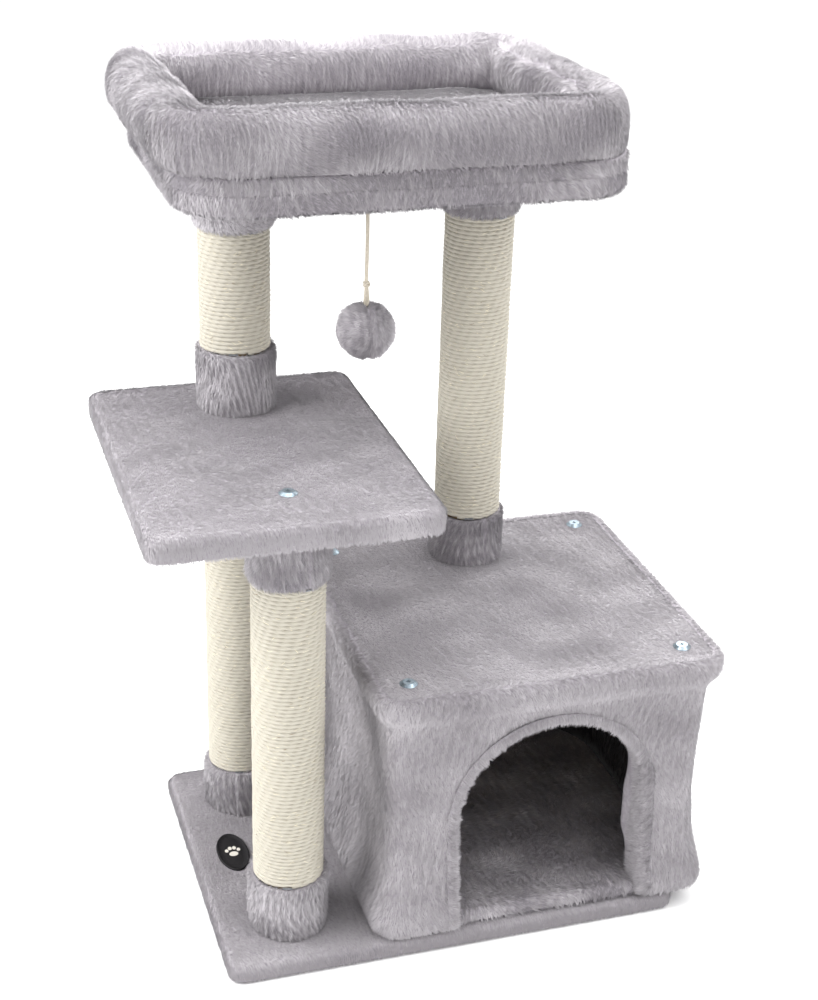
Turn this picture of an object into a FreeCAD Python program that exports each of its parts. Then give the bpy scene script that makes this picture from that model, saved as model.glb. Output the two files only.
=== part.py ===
import FreeCAD, Part
import math
import os

# Cat tree: a plush-wrapped base board carries a fabric house on the right and two rope-wound posts
# on the left. The posts hold a jump platform; one more post above it and a tall post on the house
# roof hold a padded bed. A plush ball hangs from a staple under the bed.
# Frame: millimetres, +Z up, +X to the house side, +Y to the back, origin on the floor under the
# middle of the base.

# --- driving dimensions ---------------------------------------------------------------------------
board_thickness = 15.0
plush = 3.0                    # plush wrap on the sides and the show face of a board
hem_thickness = 2.0            # plush turned over to the hidden face
hem_width = 40.0

base_length = 478.0
base_depth = 358.0
base_corner = 16.0

post_row = 112.0               # each post stands this far in front of or behind the middle
left_post_x = -165.0
tube_radius = 31.0
tube_wall = 3.5
rope_thickness = 5.0
collar_thickness = 7.5
plug_height = 25.0
front_collar = 61.0
rear_collar = 53.0
upper_collar = 63.0
tall_collar = 54.0
under_board_collar = 57.0
under_bed_collar = 52.0

platform_length = 276.0
platform_depth = 364.0
platform_corner = 22.0
platform_top = 500.0
platform_thickness = 25.0
platform_centre_x = -169.0

house_size = 360.0
house_centre_x = 90.0
house_top = 300.0
house_corner = 28.0
house_waist_corner = 20.0
house_waist = 14.0             # how far the stretched walls draw in at mid height
wall_cloth = 4.0
lining = 1.5
lining_half = 156.5            # the lining hangs inside the corner battens
lining_corner = 90.0
house_floor_board = 12.0
batten_size = 26.0
screw_inset = 36.0             # roof screws and battens, in from the house edges
door_centre_x = 92.0
door_half_width = 98.0
door_spring_height = 144.0     # where the straight jambs turn into the round arch
binding_width = 11.0
binding_lap = 3.0              # how much of the wall edge the binding grips
binding_thickness = 2.0

bed_centre_x = -27.0
bed_length = 440.0
bed_depth = 340.0
bed_corner = 62.0
bed_bottom = 742.0
bed_skirt_height = 15.0
bed_skirt_width = 14.0
bolster_centre_x = -37.0       # the roll is stuffed further out on the platform side
bolster_length = 462.0
bolster_depth = 364.0
bolster_corner = 81.0
bolster_width = 60.0
bolster_height = 63.0
bolster_round = 27.0
pad_crown = 10.0

bolt_radius = 4.0
bolt_clearance = 0.25
bolt_head_radius = 7.0
bolt_head_height = 4.0
bolt_washer_radius = 10.0
bolt_washer_height = 1.5
screw_radius = 2.4
screw_head_radius = 4.6
screw_head_height = 2.6
cup_washer_radius = 9.0
show_screw_length = 46.0       # shank of the screws seen on the platform and the roof

label_length = 66.0
label_width = 34.0
label_thickness = 1.2
label_x = -197.0
label_y = 9.0

toy_x = -66.0
toy_y = -15.0
toy_cord_radius = 1.8
toy_ball_radius = 28.5
toy_ball_z = 615.5
staple_wire = 1.0
staple_half_span = 5.0
staple_drop = 6.0
loop_radius = 4.2
loop_cord = 1.6
running_gap = 0.3

# --- levels worked out from them -------------------------------------------------------------------
base_top = hem_thickness + board_thickness + plush
platform_bottom = platform_top - platform_thickness
house_half = house_size / 2
floor_board_bottom = base_top + hem_thickness
floor_board_top = floor_board_bottom + house_floor_board
house_floor = floor_board_top + plush
roof_board_top = house_top - plush
roof_board_bottom = roof_board_top - board_thickness
bed_board_bottom = bed_bottom + plush
bed_board_top = bed_board_bottom + board_thickness
bed_skirt_bottom = bed_board_top + hem_thickness
bolster_bottom = bed_skirt_bottom + bed_skirt_height
rope_radius = tube_radius + rope_thickness
collar_radius = tube_radius + collar_thickness
batten_reach = house_half - screw_inset

up = FreeCAD.Vector(0, 0, 1)
os.makedirs("parts", exist_ok=True)


def save(name, shape):
    shape.exportStep("parts/" + name + ".step")


def rod(x, y, radius, low, high):
    return Part.makeCylinder(radius, high - low, FreeCAD.Vector(x, y, low), up)


def pipe(x, y, inner, outer, low, high):
    return rod(x, y, outer, low, high).cut(rod(x, y, inner, low - 1, high + 1))


def cone(x, y, low_radius, high_radius, low, high):
    return Part.makeCone(low_radius, high_radius, high - low, FreeCAD.Vector(x, y, low), up)


def outline(x, y, length, depth, radius, z):
    # rounded rectangle drawn as four sides and four corner arcs
    a = length / 2
    b = depth / 2
    side = radius * math.sqrt(0.5)
    edges = []
    for turn, (half_x, half_y) in enumerate([(a, b), (b, a), (a, b), (b, a)]):
        spin = FreeCAD.Rotation(up, 90 * turn)
        centre = FreeCAD.Vector(half_x - radius, half_y - radius, 0)
        start = centre + FreeCAD.Vector(radius, 0, 0)
        middle = centre + FreeCAD.Vector(side, side, 0)
        end = centre + FreeCAD.Vector(0, radius, 0)
        before = FreeCAD.Vector(half_x, radius - half_y, 0)
        points = [spin.multVec(p) + FreeCAD.Vector(x, y, z) for p in (before, start, middle, end)]
        edges.append(Part.makeLine(points[0], points[1]))
        edges.append(Part.Arc(points[1], points[2], points[3]).toShape())
    return Part.Wire(edges)


def slab(x, y, length, depth, radius, low, high):
    face = Part.Face(outline(x, y, length, depth, radius, low))
    return face.extrude(up * (high - low))


def drilled(shape, spots, radius, low, high):
    for x, y in spots:
        shape = shape.cut(rod(x, y, radius, low, high))
    return shape


def soften(shape, radius, levels):
    # rounds the long edges that lie flat at the given heights
    edges = []
    for edge in shape.Edges:
        box = edge.BoundBox
        if any(abs(box.ZMin - z) < 1e-4 and abs(box.ZMax - z) < 1e-4 for z in levels):
            edges.append(edge)
    return shape.makeFillet(radius, edges)


def wrapped_board(x, y, length, depth, corner, low, high, opens_down=True):
    # a board with plush pulled round it: the show face is covered whole, and on the other face the
    # plush ends in a hem that leaves a window
    if opens_down:
        board_low = low + hem_thickness
        board_high = high - plush
        window_low = low - 1
        window_high = board_low
    else:
        board_low = low + plush
        board_high = high - hem_thickness
        window_low = board_high
        window_high = high + 1
    inner_length = length - 2 * plush
    inner_depth = depth - 2 * plush
    board = slab(x, y, inner_length, inner_depth, corner - plush, board_low, board_high)
    wrap = soften(slab(x, y, length, depth, corner, low, high), plush * 0.8, (low, high))
    window_length = length - 2 * hem_width
    window_depth = depth - 2 * hem_width
    window = slab(x, y, window_length, window_depth, corner * 0.5, window_low, window_high)
    return board, wrap.cut(board).cut(window)


def backing(x, y, length, depth, corner, low):
    # sheet that fills the hem window
    window_length = length - 2 * hem_width
    window_depth = depth - 2 * hem_width
    return slab(x, y, window_length, window_depth, corner * 0.5, low, low + hem_thickness)


def bolt(x, y, seat, direction, tip):
    # hex bolt: the head sits on its washer, and the shank runs from the seat to the tip
    start = FreeCAD.Vector(x, y, seat)
    way = FreeCAD.Vector(0, 0, direction)
    corners = []
    for turn in range(7):
        angle = math.radians(60 * turn)
        corners.append(start + FreeCAD.Vector(bolt_head_radius * math.cos(angle),
                                              bolt_head_radius * math.sin(angle), 0))
    head = Part.Face(Part.makePolygon(corners)).extrude(way * -bolt_head_height)
    shank = Part.makeCylinder(bolt_radius, abs(tip - seat), start, way)
    return head.fuse(shank).removeSplitter()


def bolt_washer(x, y, low):
    return pipe(x, y, bolt_radius + bolt_clearance, bolt_washer_radius, low, low + bolt_washer_height)


def cup_washer(x, y, face):
    # domed ring with a countersunk bore
    rim = cone(x, y, cup_washer_radius, screw_head_radius + 1.2, face, face + screw_head_height)
    seat = cone(x, y, screw_radius, screw_head_radius, face, face + screw_head_height)
    return rim.cut(seat)


def wood_screw(x, y, head_low, tip):
    # countersunk screw driven downwards, with a cross recess in the head
    head = cone(x, y, screw_radius, screw_head_radius, head_low, head_low + screw_head_height)
    shank = rod(x, y, screw_radius, tip, head_low)
    screw = head.fuse(shank).removeSplitter()
    slot_length = screw_head_radius * 1.1
    for size_x, size_y in ((slot_length, 1.1), (1.1, slot_length)):
        corner = FreeCAD.Vector(x - size_x / 2, y - size_y / 2, head_low + screw_head_height - 1.2)
        screw = screw.cut(Part.makeBox(size_x, size_y, 2, corner))
    return screw


def upward_screw(x, y, head_low, tip):
    head = cone(x, y, screw_head_radius, screw_radius, head_low, head_low + screw_head_height)
    return head.fuse(rod(x, y, screw_radius, head_low + screw_head_height, tip)).removeSplitter()


# --- posts -----------------------------------------------------------------------------------------
rear_spot = (left_post_x, post_row)
front_spot = (left_post_x, -post_row)
tall_spot = (house_centre_x, post_row)


def post(name, spot, low, high, low_collar, high_collar, top_hole):
    x, y = spot
    rope_low = low + low_collar
    rope_high = high - high_collar
    save(name + "_tube", pipe(x, y, tube_radius - tube_wall, tube_radius, low, high))
    plug_radius = tube_radius - tube_wall
    low_plug = pipe(x, y, bolt_radius, plug_radius, low, low + plug_height)
    high_plug = pipe(x, y, top_hole, plug_radius, high - plug_height, high)
    save(name + "_end_plugs", Part.makeCompound([low_plug, high_plug]))
    save(name + "_rope", pipe(x, y, tube_radius, rope_radius, rope_low, rope_high))
    low_sleeve = pipe(x, y, tube_radius, collar_radius, low, rope_low)
    high_sleeve = pipe(x, y, tube_radius, collar_radius, rope_high, high)
    save(name + "_bottom_collar", soften(low_sleeve, 1.5, (rope_low,)))
    save(name + "_top_collar", soften(high_sleeve, 1.5, (rope_high,)))
    return rope_low, rope_high


rope_spans = []
rope_spans.append((front_spot, post("front_post", front_spot, base_top, platform_bottom,
                                    front_collar, under_board_collar, screw_radius)))
rope_spans.append((rear_spot, post("rear_post", rear_spot, base_top, platform_bottom,
                                   rear_collar, under_board_collar, bolt_radius)))
rope_spans.append((rear_spot, post("upper_post", rear_spot, platform_top, bed_bottom,
                                   upper_collar, under_bed_collar, bolt_radius)))
rope_spans.append((tall_spot, post("tall_post", tall_spot, house_top, bed_bottom,
                                   tall_collar, under_bed_collar, bolt_radius)))

# the staple crowns that hold the two ends of each rope
staples = []
for (x, y), (rope_low, rope_high) in rope_spans:
    for level, bearing in ((rope_low + 1.5, 255), (rope_high - 3.0, 290)):
        crown = pipe(x, y, rope_radius, rope_radius + 0.8, level, level + 1.5)
        reach = rope_radius + 20
        wedge_points = [FreeCAD.Vector(x, y, level)]
        for angle in (bearing - 7, bearing + 7):
            wedge_points.append(FreeCAD.Vector(x + reach * math.cos(math.radians(angle)),
                                               y + reach * math.sin(math.radians(angle)), level))
        wedge_points.append(wedge_points[0])
        wedge = Part.Face(Part.makePolygon(wedge_points)).extrude(up * 1.5)
        staples.append(crown.common(wedge))
save("rope_staples", Part.makeCompound(staples))

# --- base ------------------------------------------------------------------------------------------
base_seat = hem_thickness + bolt_head_height + bolt_washer_height
house_screw_spots = []
for side in (-1, 1):
    for screw_x in (house_centre_x - 110, house_centre_x + 90):
        house_screw_spots.append((screw_x, side * 120))
bolt_spots = [front_spot, rear_spot]
bolt_hole = bolt_radius + bolt_clearance

board, cover = wrapped_board(0, 0, base_length, base_depth, base_corner, 0, base_top)
board = drilled(board, bolt_spots, bolt_washer_radius + 1, 0, base_seat)
board = drilled(board, bolt_spots, bolt_hole, 0, base_top)
board = drilled(board, house_screw_spots, screw_radius, 0, base_top)
cover = drilled(cover, bolt_spots, bolt_hole, base_top - plush - 1, base_top + 1)
cover = drilled(cover, house_screw_spots, screw_radius, base_top - plush - 1, base_top + 1)
liner = backing(0, 0, base_length, base_depth, base_corner, 0)
liner = drilled(liner, bolt_spots, bolt_washer_radius + 1, -1, hem_thickness + 1)
house_screws = []
for x, y in house_screw_spots:
    screw = upward_screw(x, y, hem_thickness, floor_board_top - 2)
    board = board.cut(screw)
    house_screws.append(screw)
save("base_board", board)
save("base_cover", cover)
save("base_backing", liner)
save("house_base_screws", Part.makeCompound(house_screws))

base_bolts = []
bolt_washers = []
for x, y in bolt_spots:
    base_bolts.append(bolt(x, y, hem_thickness + bolt_head_height, 1, base_top + plug_height - 3))
    bolt_washers.append(bolt_washer(x, y, hem_thickness + bolt_head_height))
save("base_post_bolts", Part.makeCompound(base_bolts))

ellipse = Part.Ellipse(FreeCAD.Vector(0, 0, 0), label_length / 2, label_width / 2)
label = Part.Face(Part.Wire([ellipse.toShape()])).extrude(up * label_thickness)
label.rotate(FreeCAD.Vector(0, 0, 0), up, 90)
label.translate(FreeCAD.Vector(label_x, label_y, base_top))
save("oval_label", label)

# --- jump platform ---------------------------------------------------------------------------------
board, cover = wrapped_board(platform_centre_x, 0, platform_length, platform_depth, platform_corner,
                             platform_bottom, platform_top)
liner = backing(platform_centre_x, 0, platform_length, platform_depth, platform_corner,
                platform_bottom)
stud_low = platform_bottom - plug_height + 3
stud_high = platform_top + plug_height - 3
show_screws = [wood_screw(left_post_x, -post_row, platform_top, platform_top - show_screw_length)]
cup_washers = [cup_washer(left_post_x, -post_row, platform_top)]
platform_parts = []
for shape in (board, cover, liner):
    shape = drilled(shape, [rear_spot], bolt_hole, platform_bottom - 1, platform_top + 1)
    shape = drilled(shape, [front_spot], screw_radius, platform_bottom - 1, platform_top + 1)
    platform_parts.append(shape)
save("platform_board", platform_parts[0])
save("platform_cover", platform_parts[1])
save("platform_backing", platform_parts[2])
save("platform_post_stud", rod(left_post_x, post_row, bolt_radius, stud_low, stud_high))


# --- house -----------------------------------------------------------------------------------------
def wall_shape(inset):
    # solid inside the stretched cloth: full size at the floor and roof boards, drawn in between
    levels = [(base_top, 4.0), (base_top + 7, 0), (house_floor, 0)]
    steps = 6
    for step in range(1, steps):
        share = step / steps
        z = house_floor + (roof_board_bottom - house_floor) * share
        levels.append((z, house_waist * math.sin(math.pi * share)))
    levels.append((roof_board_bottom, 0))
    levels.append((roof_board_top, 0))
    wires = []
    for z, drawn in levels:
        size = house_size - 2 * (drawn + inset)
        corner = house_corner - (house_corner - house_waist_corner) * min(1, drawn / house_waist)
        wires.append(outline(house_centre_x, 0, size, size, corner - inset, z))
    return Part.makeLoft(wires, True, True)


def doorway(half_width, bottom, front, back):
    # straight jambs under a round arch, cut from front to back
    left = door_centre_x - half_width
    right = door_centre_x + half_width
    points = [(left, bottom), (right, bottom), (right, door_spring_height)]
    corners = [FreeCAD.Vector(x, front, z) for x, z in points]
    crown = FreeCAD.Vector(door_centre_x, front, door_spring_height + half_width)
    last = FreeCAD.Vector(left, front, door_spring_height)
    edges = [Part.makeLine(corners[0], corners[1]), Part.makeLine(corners[1], corners[2])]
    edges.append(Part.Arc(corners[2], crown, last).toShape())
    edges.append(Part.makeLine(last, corners[0]))
    return Part.Face(Part.Wire(edges)).extrude(FreeCAD.Vector(0, back - front, 0))


front_plane = -house_half - 20
behind_front = -house_half + 50
wall_cut = doorway(door_half_width + binding_lap, base_top - 5, front_plane, behind_front)
cloth = wall_shape(0).cut(wall_shape(wall_cloth)).cut(wall_cut)
save("house_wall_cloth", cloth)

curtain = []
for layer in (0, lining):
    size = 2 * (lining_half - layer)
    curtain.append(slab(house_centre_x, 0, size, size, lining_corner - layer,
                        house_floor, roof_board_bottom))
lining_cloth = curtain[0].cut(curtain[1]).cut(wall_cut)
save("house_lining", lining_cloth)

# the binding folds over the edge of the wall cloth and runs back along the jambs to the lining
opening = doorway(door_half_width, base_top - 5, front_plane, behind_front)
fold = doorway(door_half_width + binding_width, house_floor, front_plane, behind_front)
fold = fold.common(wall_shape(-binding_thickness).cut(wall_shape(wall_cloth + binding_thickness)))
reveal = doorway(door_half_width + binding_lap, house_floor, front_plane, lining - lining_half)
reveal = reveal.common(wall_shape(-binding_thickness))
save("house_door_binding", fold.fuse(reveal).cut(opening).cut(cloth).removeSplitter())

floor_size = house_size - 2 * (wall_cloth + 4.5)
batten_spots = []
for side_x in (-1, 1):
    for side_y in (-1, 1):
        batten_spots.append((house_centre_x + side_x * batten_reach, side_y * batten_reach))
board, cover = wrapped_board(house_centre_x, 0, floor_size, floor_size, house_corner - 8,
                             base_top, house_floor)
liner = backing(house_centre_x, 0, floor_size, floor_size, house_corner - 8, base_top)
floor_screws = []
for x, y in batten_spots:
    screw = upward_screw(x, y, floor_board_bottom, house_floor + 25)
    board = board.cut(screw)
    cover = cover.cut(screw)
    floor_screws.append(screw)
for screw in house_screws:
    board = board.cut(screw)
    liner = liner.cut(screw)
save("house_floor_board", board)
save("house_floor_cover", cover)
save("house_floor_backing", liner)
save("house_batten_screws", Part.makeCompound(floor_screws))

batten_names = ["front_left", "back_left", "front_right", "back_right"]
for (x, y), place, floor_screw in zip(batten_spots, batten_names, floor_screws):
    batten = slab(x, y, batten_size, batten_size, 5, house_floor, roof_board_bottom)
    screw = wood_screw(x, y, house_top, house_top - show_screw_length)
    save("house_batten_" + place, batten.cut(floor_screw).cut(screw))
    show_screws.append(screw)
    cup_washers.append(cup_washer(x, y, house_top))
save("countersunk_screws", Part.makeCompound(show_screws))
save("cup_washers", Part.makeCompound(cup_washers))

roof_size = house_size - 2 * wall_cloth
roof_board = slab(house_centre_x, 0, roof_size, roof_size, house_corner - wall_cloth,
                  roof_board_bottom, roof_board_top)
roof_panel = slab(house_centre_x, 0, house_size, house_size, house_corner, roof_board_top, house_top)
roof_panel = soften(roof_panel, plush * 0.8, (house_top,))
roof_parts = []
for shape in (roof_board, roof_panel):
    shape = drilled(shape, batten_spots, screw_radius, roof_board_bottom - 1, house_top + 1)
    roof_parts.append(drilled(shape, [tall_spot], bolt_hole, roof_board_bottom - 1, house_top + 1))
save("house_roof_board", roof_parts[0])
save("house_roof_panel", roof_parts[1])
roof_seat = roof_board_bottom - bolt_washer_height
save("tall_post_bolt", bolt(house_centre_x, post_row, roof_seat, 1, house_top + plug_height - 3))
bolt_washers.append(bolt_washer(house_centre_x, post_row, roof_seat))

# --- bed -------------------------------------------------------------------------------------------
bed_spots = [rear_spot, tall_spot]
toy_leg_spots = [(toy_x - staple_half_span, toy_y), (toy_x + staple_half_span, toy_y)]
board, cover = wrapped_board(bed_centre_x, post_row, bed_length, bed_depth, bed_corner,
                             bed_bottom, bed_skirt_bottom, False)
bed_parts = []
for shape in (board, cover):
    shape = drilled(shape, bed_spots, bolt_hole, bed_bottom - 1, bed_skirt_bottom + 1)
    bed_parts.append(drilled(shape, toy_leg_spots, staple_wire, bed_bottom - 1, bed_bottom + 9))
save("bed_board", bed_parts[0])
save("bed_board_cover", bed_parts[1])

bed_bolts = []
for x, y in bed_spots:
    seat = bed_board_top + bolt_washer_height
    bed_bolts.append(bolt(x, y, seat, -1, bed_bottom - plug_height + 3))
    bolt_washers.append(bolt_washer(x, y, bed_board_top))
save("bed_bolts", Part.makeCompound(bed_bolts))
save("bolt_washers", Part.makeCompound(bolt_washers))

skirt_outer = slab(bed_centre_x, post_row, bed_length, bed_depth, bed_corner,
                   bed_skirt_bottom, bolster_bottom)
pad_length = bed_length - 2 * bed_skirt_width
pad_depth = bed_depth - 2 * bed_skirt_width
pad_corner = bed_corner - bed_skirt_width
skirt_inner = slab(bed_centre_x, post_row, pad_length, pad_depth, pad_corner,
                   bed_skirt_bottom - 1, bolster_bottom + 1)
save("bed_skirt", skirt_outer.cut(skirt_inner))

# the pad starts above the bolt heads and crowns up inside the bolster ring
crown_inset = 2 * (bolster_width + 4)
pad_low = bed_board_top + bolt_washer_height + bolt_head_height + 1
pad = slab(bed_centre_x, post_row, pad_length - 1, pad_depth - 1, pad_corner - 0.5,
           pad_low, bolster_bottom - running_gap)
crown_corner = bolster_corner - bolster_width
crown = slab(bolster_centre_x, post_row, bolster_length - crown_inset, bolster_depth - crown_inset,
             crown_corner, bolster_bottom - 2, bolster_bottom + pad_crown)
save("bed_floor_pad", pad.fuse(crown).removeSplitter())

# stuffed roll round the bed: a rounded section carried along a rounded rectangle
middle = bolster_width / 2
path = outline(bolster_centre_x, post_row, bolster_length - bolster_width,
               bolster_depth - bolster_width, bolster_corner - middle, 0)
section = outline(0, 0, bolster_width, bolster_height, bolster_round, 0)
section.rotate(FreeCAD.Vector(0, 0, 0), FreeCAD.Vector(1, 0, 0), 90)
path_start = path.Edges[0].Vertexes[0].Point
section.translate(path_start + FreeCAD.Vector(0, 0, bolster_bottom + bolster_height / 2))
path.translate(FreeCAD.Vector(0, 0, bolster_bottom + bolster_height / 2))
save("bed_bolster", path.makePipeShell([section], True, True))

# --- hanging toy -----------------------------------------------------------------------------------
crown_z = bed_bottom - staple_drop
legs = []
for x, y in toy_leg_spots:
    legs.append(rod(x, y, staple_wire, crown_z, bed_bottom + 9))
crown_start = FreeCAD.Vector(toy_x - staple_half_span, toy_y, crown_z)
crown_bar = Part.makeCylinder(staple_wire, 2 * staple_half_span, crown_start,
                              FreeCAD.Vector(1, 0, 0))
crown_ends = []
for x, y in toy_leg_spots:
    crown_ends.append(Part.makeSphere(staple_wire, FreeCAD.Vector(x, y, crown_z)))
save("toy_staple", crown_bar.fuse(legs + crown_ends).removeSplitter())

# the cord's top loop hangs on the crown and swings about it; the cord below turns on the loop
loop_centre_z = crown_z - (loop_radius - loop_cord - staple_wire - running_gap)
loop = Part.makeTorus(loop_radius, loop_cord, FreeCAD.Vector(toy_x, toy_y, loop_centre_z),
                      FreeCAD.Vector(1, 0, 0))
save("toy_cord_loop", loop)
turn_z = loop_centre_z - loop_radius
cord_end = toy_ball_z + toy_ball_radius - 8
cord = rod(toy_x, toy_y, toy_cord_radius, cord_end, turn_z)
saddle_start = FreeCAD.Vector(toy_x, toy_y - 5, turn_z)
saddle = Part.makeCylinder(loop_cord + running_gap, 10, saddle_start, FreeCAD.Vector(0, 1, 0))
save("toy_cord", cord.cut(saddle))
ball = Part.makeSphere(toy_ball_radius, FreeCAD.Vector(toy_x, toy_y, toy_ball_z))
save("toy_ball", ball.cut(rod(toy_x, toy_y, toy_cord_radius, cord_end, turn_z)))
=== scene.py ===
import math

import bmesh
import bpy
import numpy as np
from mathutils import Matrix, Quaternion, Vector, noise


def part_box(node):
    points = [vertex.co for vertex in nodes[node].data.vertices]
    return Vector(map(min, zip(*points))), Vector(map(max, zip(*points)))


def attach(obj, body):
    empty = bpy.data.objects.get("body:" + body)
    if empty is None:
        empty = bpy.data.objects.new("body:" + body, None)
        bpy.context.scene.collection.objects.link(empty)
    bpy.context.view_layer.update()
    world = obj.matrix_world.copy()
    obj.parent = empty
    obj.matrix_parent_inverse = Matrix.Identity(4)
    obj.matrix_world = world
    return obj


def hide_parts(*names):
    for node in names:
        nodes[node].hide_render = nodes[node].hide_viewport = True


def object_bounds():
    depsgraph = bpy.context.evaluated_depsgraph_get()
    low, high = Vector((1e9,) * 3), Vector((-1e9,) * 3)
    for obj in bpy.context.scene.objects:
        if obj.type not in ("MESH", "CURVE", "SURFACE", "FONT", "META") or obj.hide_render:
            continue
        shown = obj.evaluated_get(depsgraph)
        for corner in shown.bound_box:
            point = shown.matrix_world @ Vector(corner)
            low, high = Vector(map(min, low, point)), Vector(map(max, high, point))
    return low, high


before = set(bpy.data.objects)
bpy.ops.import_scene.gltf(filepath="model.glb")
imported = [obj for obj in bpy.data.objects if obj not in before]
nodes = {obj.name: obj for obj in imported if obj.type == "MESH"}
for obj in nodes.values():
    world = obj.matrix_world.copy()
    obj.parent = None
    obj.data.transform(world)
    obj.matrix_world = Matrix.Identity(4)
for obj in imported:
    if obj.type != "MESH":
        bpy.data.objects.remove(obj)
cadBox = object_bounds()
scene = bpy.context.scene
mm = 0.001
print("frame loaded:", len(nodes), "nodes")

# camera: a standing person's view from the front left
cameraLook = {
    "position": (-0.5127, -1.5392, 1.1861),
    "aim": (-0.0126, 0.0, 0.4245),
    "roll": 1.8,          # degrees
    "lens": 63.9,         # mm
    "film": 36.0,         # mm, the frame's height
    "near": 50 * mm,
}
cameraData = bpy.data.cameras.new("camera")
camera = bpy.data.objects.new("camera", cameraData)
scene.collection.objects.link(camera)
cameraData.sensor_fit = "VERTICAL"
cameraData.sensor_height = cameraLook["film"]
cameraData.lens = cameraLook["lens"]
cameraData.clip_start = cameraLook["near"]
camera.location = cameraLook["position"]
sight = Vector(cameraLook["aim"]) - camera.location
camera.rotation_mode = "QUATERNION"
camera.rotation_quaternion = (sight.to_track_quat("-Z", "Y")
                              @ Quaternion((0, 0, 1), math.radians(cameraLook["roll"])))
scene.camera = camera


def hexLinear(code):
    # sRGB hex to the linear colour that a shader wants
    parts = [int(code[i:i + 2], 16) / 255 for i in (1, 3, 5)]
    return tuple(c / 12.92 if c <= 0.04045 else ((c + 0.055) / 1.055) ** 2.4 for c in parts) + (1.0,)


def addNode(tree, kind, settings=None, links=None):
    # settings go to the socket of that name or number, or else to the node itself
    node = tree.nodes.new(kind)
    for key, value in (settings or {}).items():
        if isinstance(key, int) or key in node.inputs:
            node.inputs[key].default_value = value
        else:
            setattr(node, key, value)
    for key, source in (links or {}).items():
        tree.links.new(source, node.inputs[key])
    return node


def startMaterial(name, settings):
    material = bpy.data.materials.new(name)
    material.use_nodes = True
    shader = material.node_tree.nodes["Principled BSDF"]
    for key, value in settings.items():
        shader.inputs[key].default_value = hexLinear(value) if isinstance(value, str) else value
    return material, material.node_tree, shader


def colourRamp(tree, factor, stops):
    # stops are (place, hex) pairs
    ramp = addNode(tree, "ShaderNodeValToRGB", links={"Fac": factor})
    elements = ramp.color_ramp.elements
    while len(elements) < len(stops):
        elements.new(0.5)
    for element, (place, code) in zip(elements, stops):
        element.position = place
        element.color = hexLinear(code)
    return ramp.outputs["Color"]


def grainOn(tree, shader, vector, grain, stops, relief):
    # noise that gives the colour, and a bump of (strength, depth)
    fac = addNode(tree, "ShaderNodeTexNoise", grain, {"Vector": vector}).outputs["Fac"]
    tree.links.new(colourRamp(tree, fac, stops), shader.inputs["Base Color"])
    if relief:
        bump = addNode(tree, "ShaderNodeBump", dict(zip(("Strength", "Distance"), relief)), {"Height": fac})
        tree.links.new(bump.outputs["Normal"], shader.inputs["Normal"])


def grainedMaterial(name, settings, grain, stops, relief=None, stretch=None):
    material, tree, shader = startMaterial(name, settings)
    vector = addNode(tree, "ShaderNodeTexCoord").outputs["Object"]
    if stretch:
        mapping = addNode(tree, "ShaderNodeMapping", {"Scale": stretch}, {"Vector": vector})
        vector = mapping.outputs["Vector"]
    grainOn(tree, shader, vector, grain, stops, relief)
    return material


# polyester plush, cut pile: each fibre is a soft dull thread, and the sheen gives the pale bloom
# that velvety cloth shows where it turns away
plushLook = {
    "tones": ("#8A868B", "#999599", "#A8A4A8", "#B6B2B6", "#C6C2C6"),
    "roughness": 0.88,
    "sheen": 0.25,
    "sheenTint": "#E9E6EC",
    "ior": 1.45,
}
plushTones = []
for letter, code in zip("ABCDE", plushLook["tones"]):
    plushTones.append(startMaterial("plushPile" + letter, {
        "Base Color": code, "Roughness": plushLook["roughness"], "IOR": plushLook["ior"],
        "Specular IOR Level": 0.15, "Sheen Weight": plushLook["sheen"], "Sheen Roughness": 0.45,
        "Sheen Tint": plushLook["sheenTint"]})[0])

# the knitted ground that the pile stands in, a shade deeper, with tufts 4 mm apart; it gives the
# shadow between tufts
plushGround = grainedMaterial(
    "plushGround", {"Roughness": 0.95, "Specular IOR Level": 0.1, "IOR": plushLook["ior"]},
    {"Scale": 260.0, "Detail": 3.0, "Roughness": 0.6},
    ((0.35, "#948F95"), (0.65, "#A8A3A9")), (0.5, 1 * mm))

# the lining is the same cloth, painted a deep brown-grey for the shade inside the house
liningShadeTone = startMaterial("liningPilePaintedShade", {
    "Base Color": "#252123", "Roughness": 0.9, "Specular IOR Level": 0.1, "IOR": plushLook["ior"],
    "Sheen Weight": 0.1})[0]

# sisal: three-strand twisted leaf fibre, dry and matt, cream with straw-coloured furrows, and
# streaks 10 mm long along the strand
sisalLook = {
    "stops": ((0.26, "#A09781"), (0.40, "#B7B1A3"), (0.60, "#C0BCB1")),
    "streaks": (90.0, 5.0, 1.0),
    "looseFibres": {"looseFibrePale": "#EFE6CC", "looseFibreBrown": "#6E573A"},
}
sisal, sisalTree, sisalShader = startMaterial("sisalRope", {
    "Roughness": 0.85, "Specular IOR Level": 0.2, "IOR": 1.45, "Sheen Weight": 0.1})
strandRun = addNode(sisalTree, "ShaderNodeUVMap", {"uv_map": "strandRun"})
strandScale = addNode(sisalTree, "ShaderNodeMapping", {"Scale": sisalLook["streaks"]},
                      {"Vector": strandRun.outputs["UV"]})
grainOn(sisalTree, sisalShader, strandScale.outputs["Vector"],
        {"Scale": 1.0, "Detail": 4.0, "Roughness": 0.65}, sisalLook["stops"], (0.4, 0.4 * mm))
fibreTones = []
for name, code in sisalLook["looseFibres"].items():
    fibreTones.append(startMaterial(name, {
        "Base Color": code, "Roughness": 0.8, "Specular IOR Level": 0.2})[0])

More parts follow.
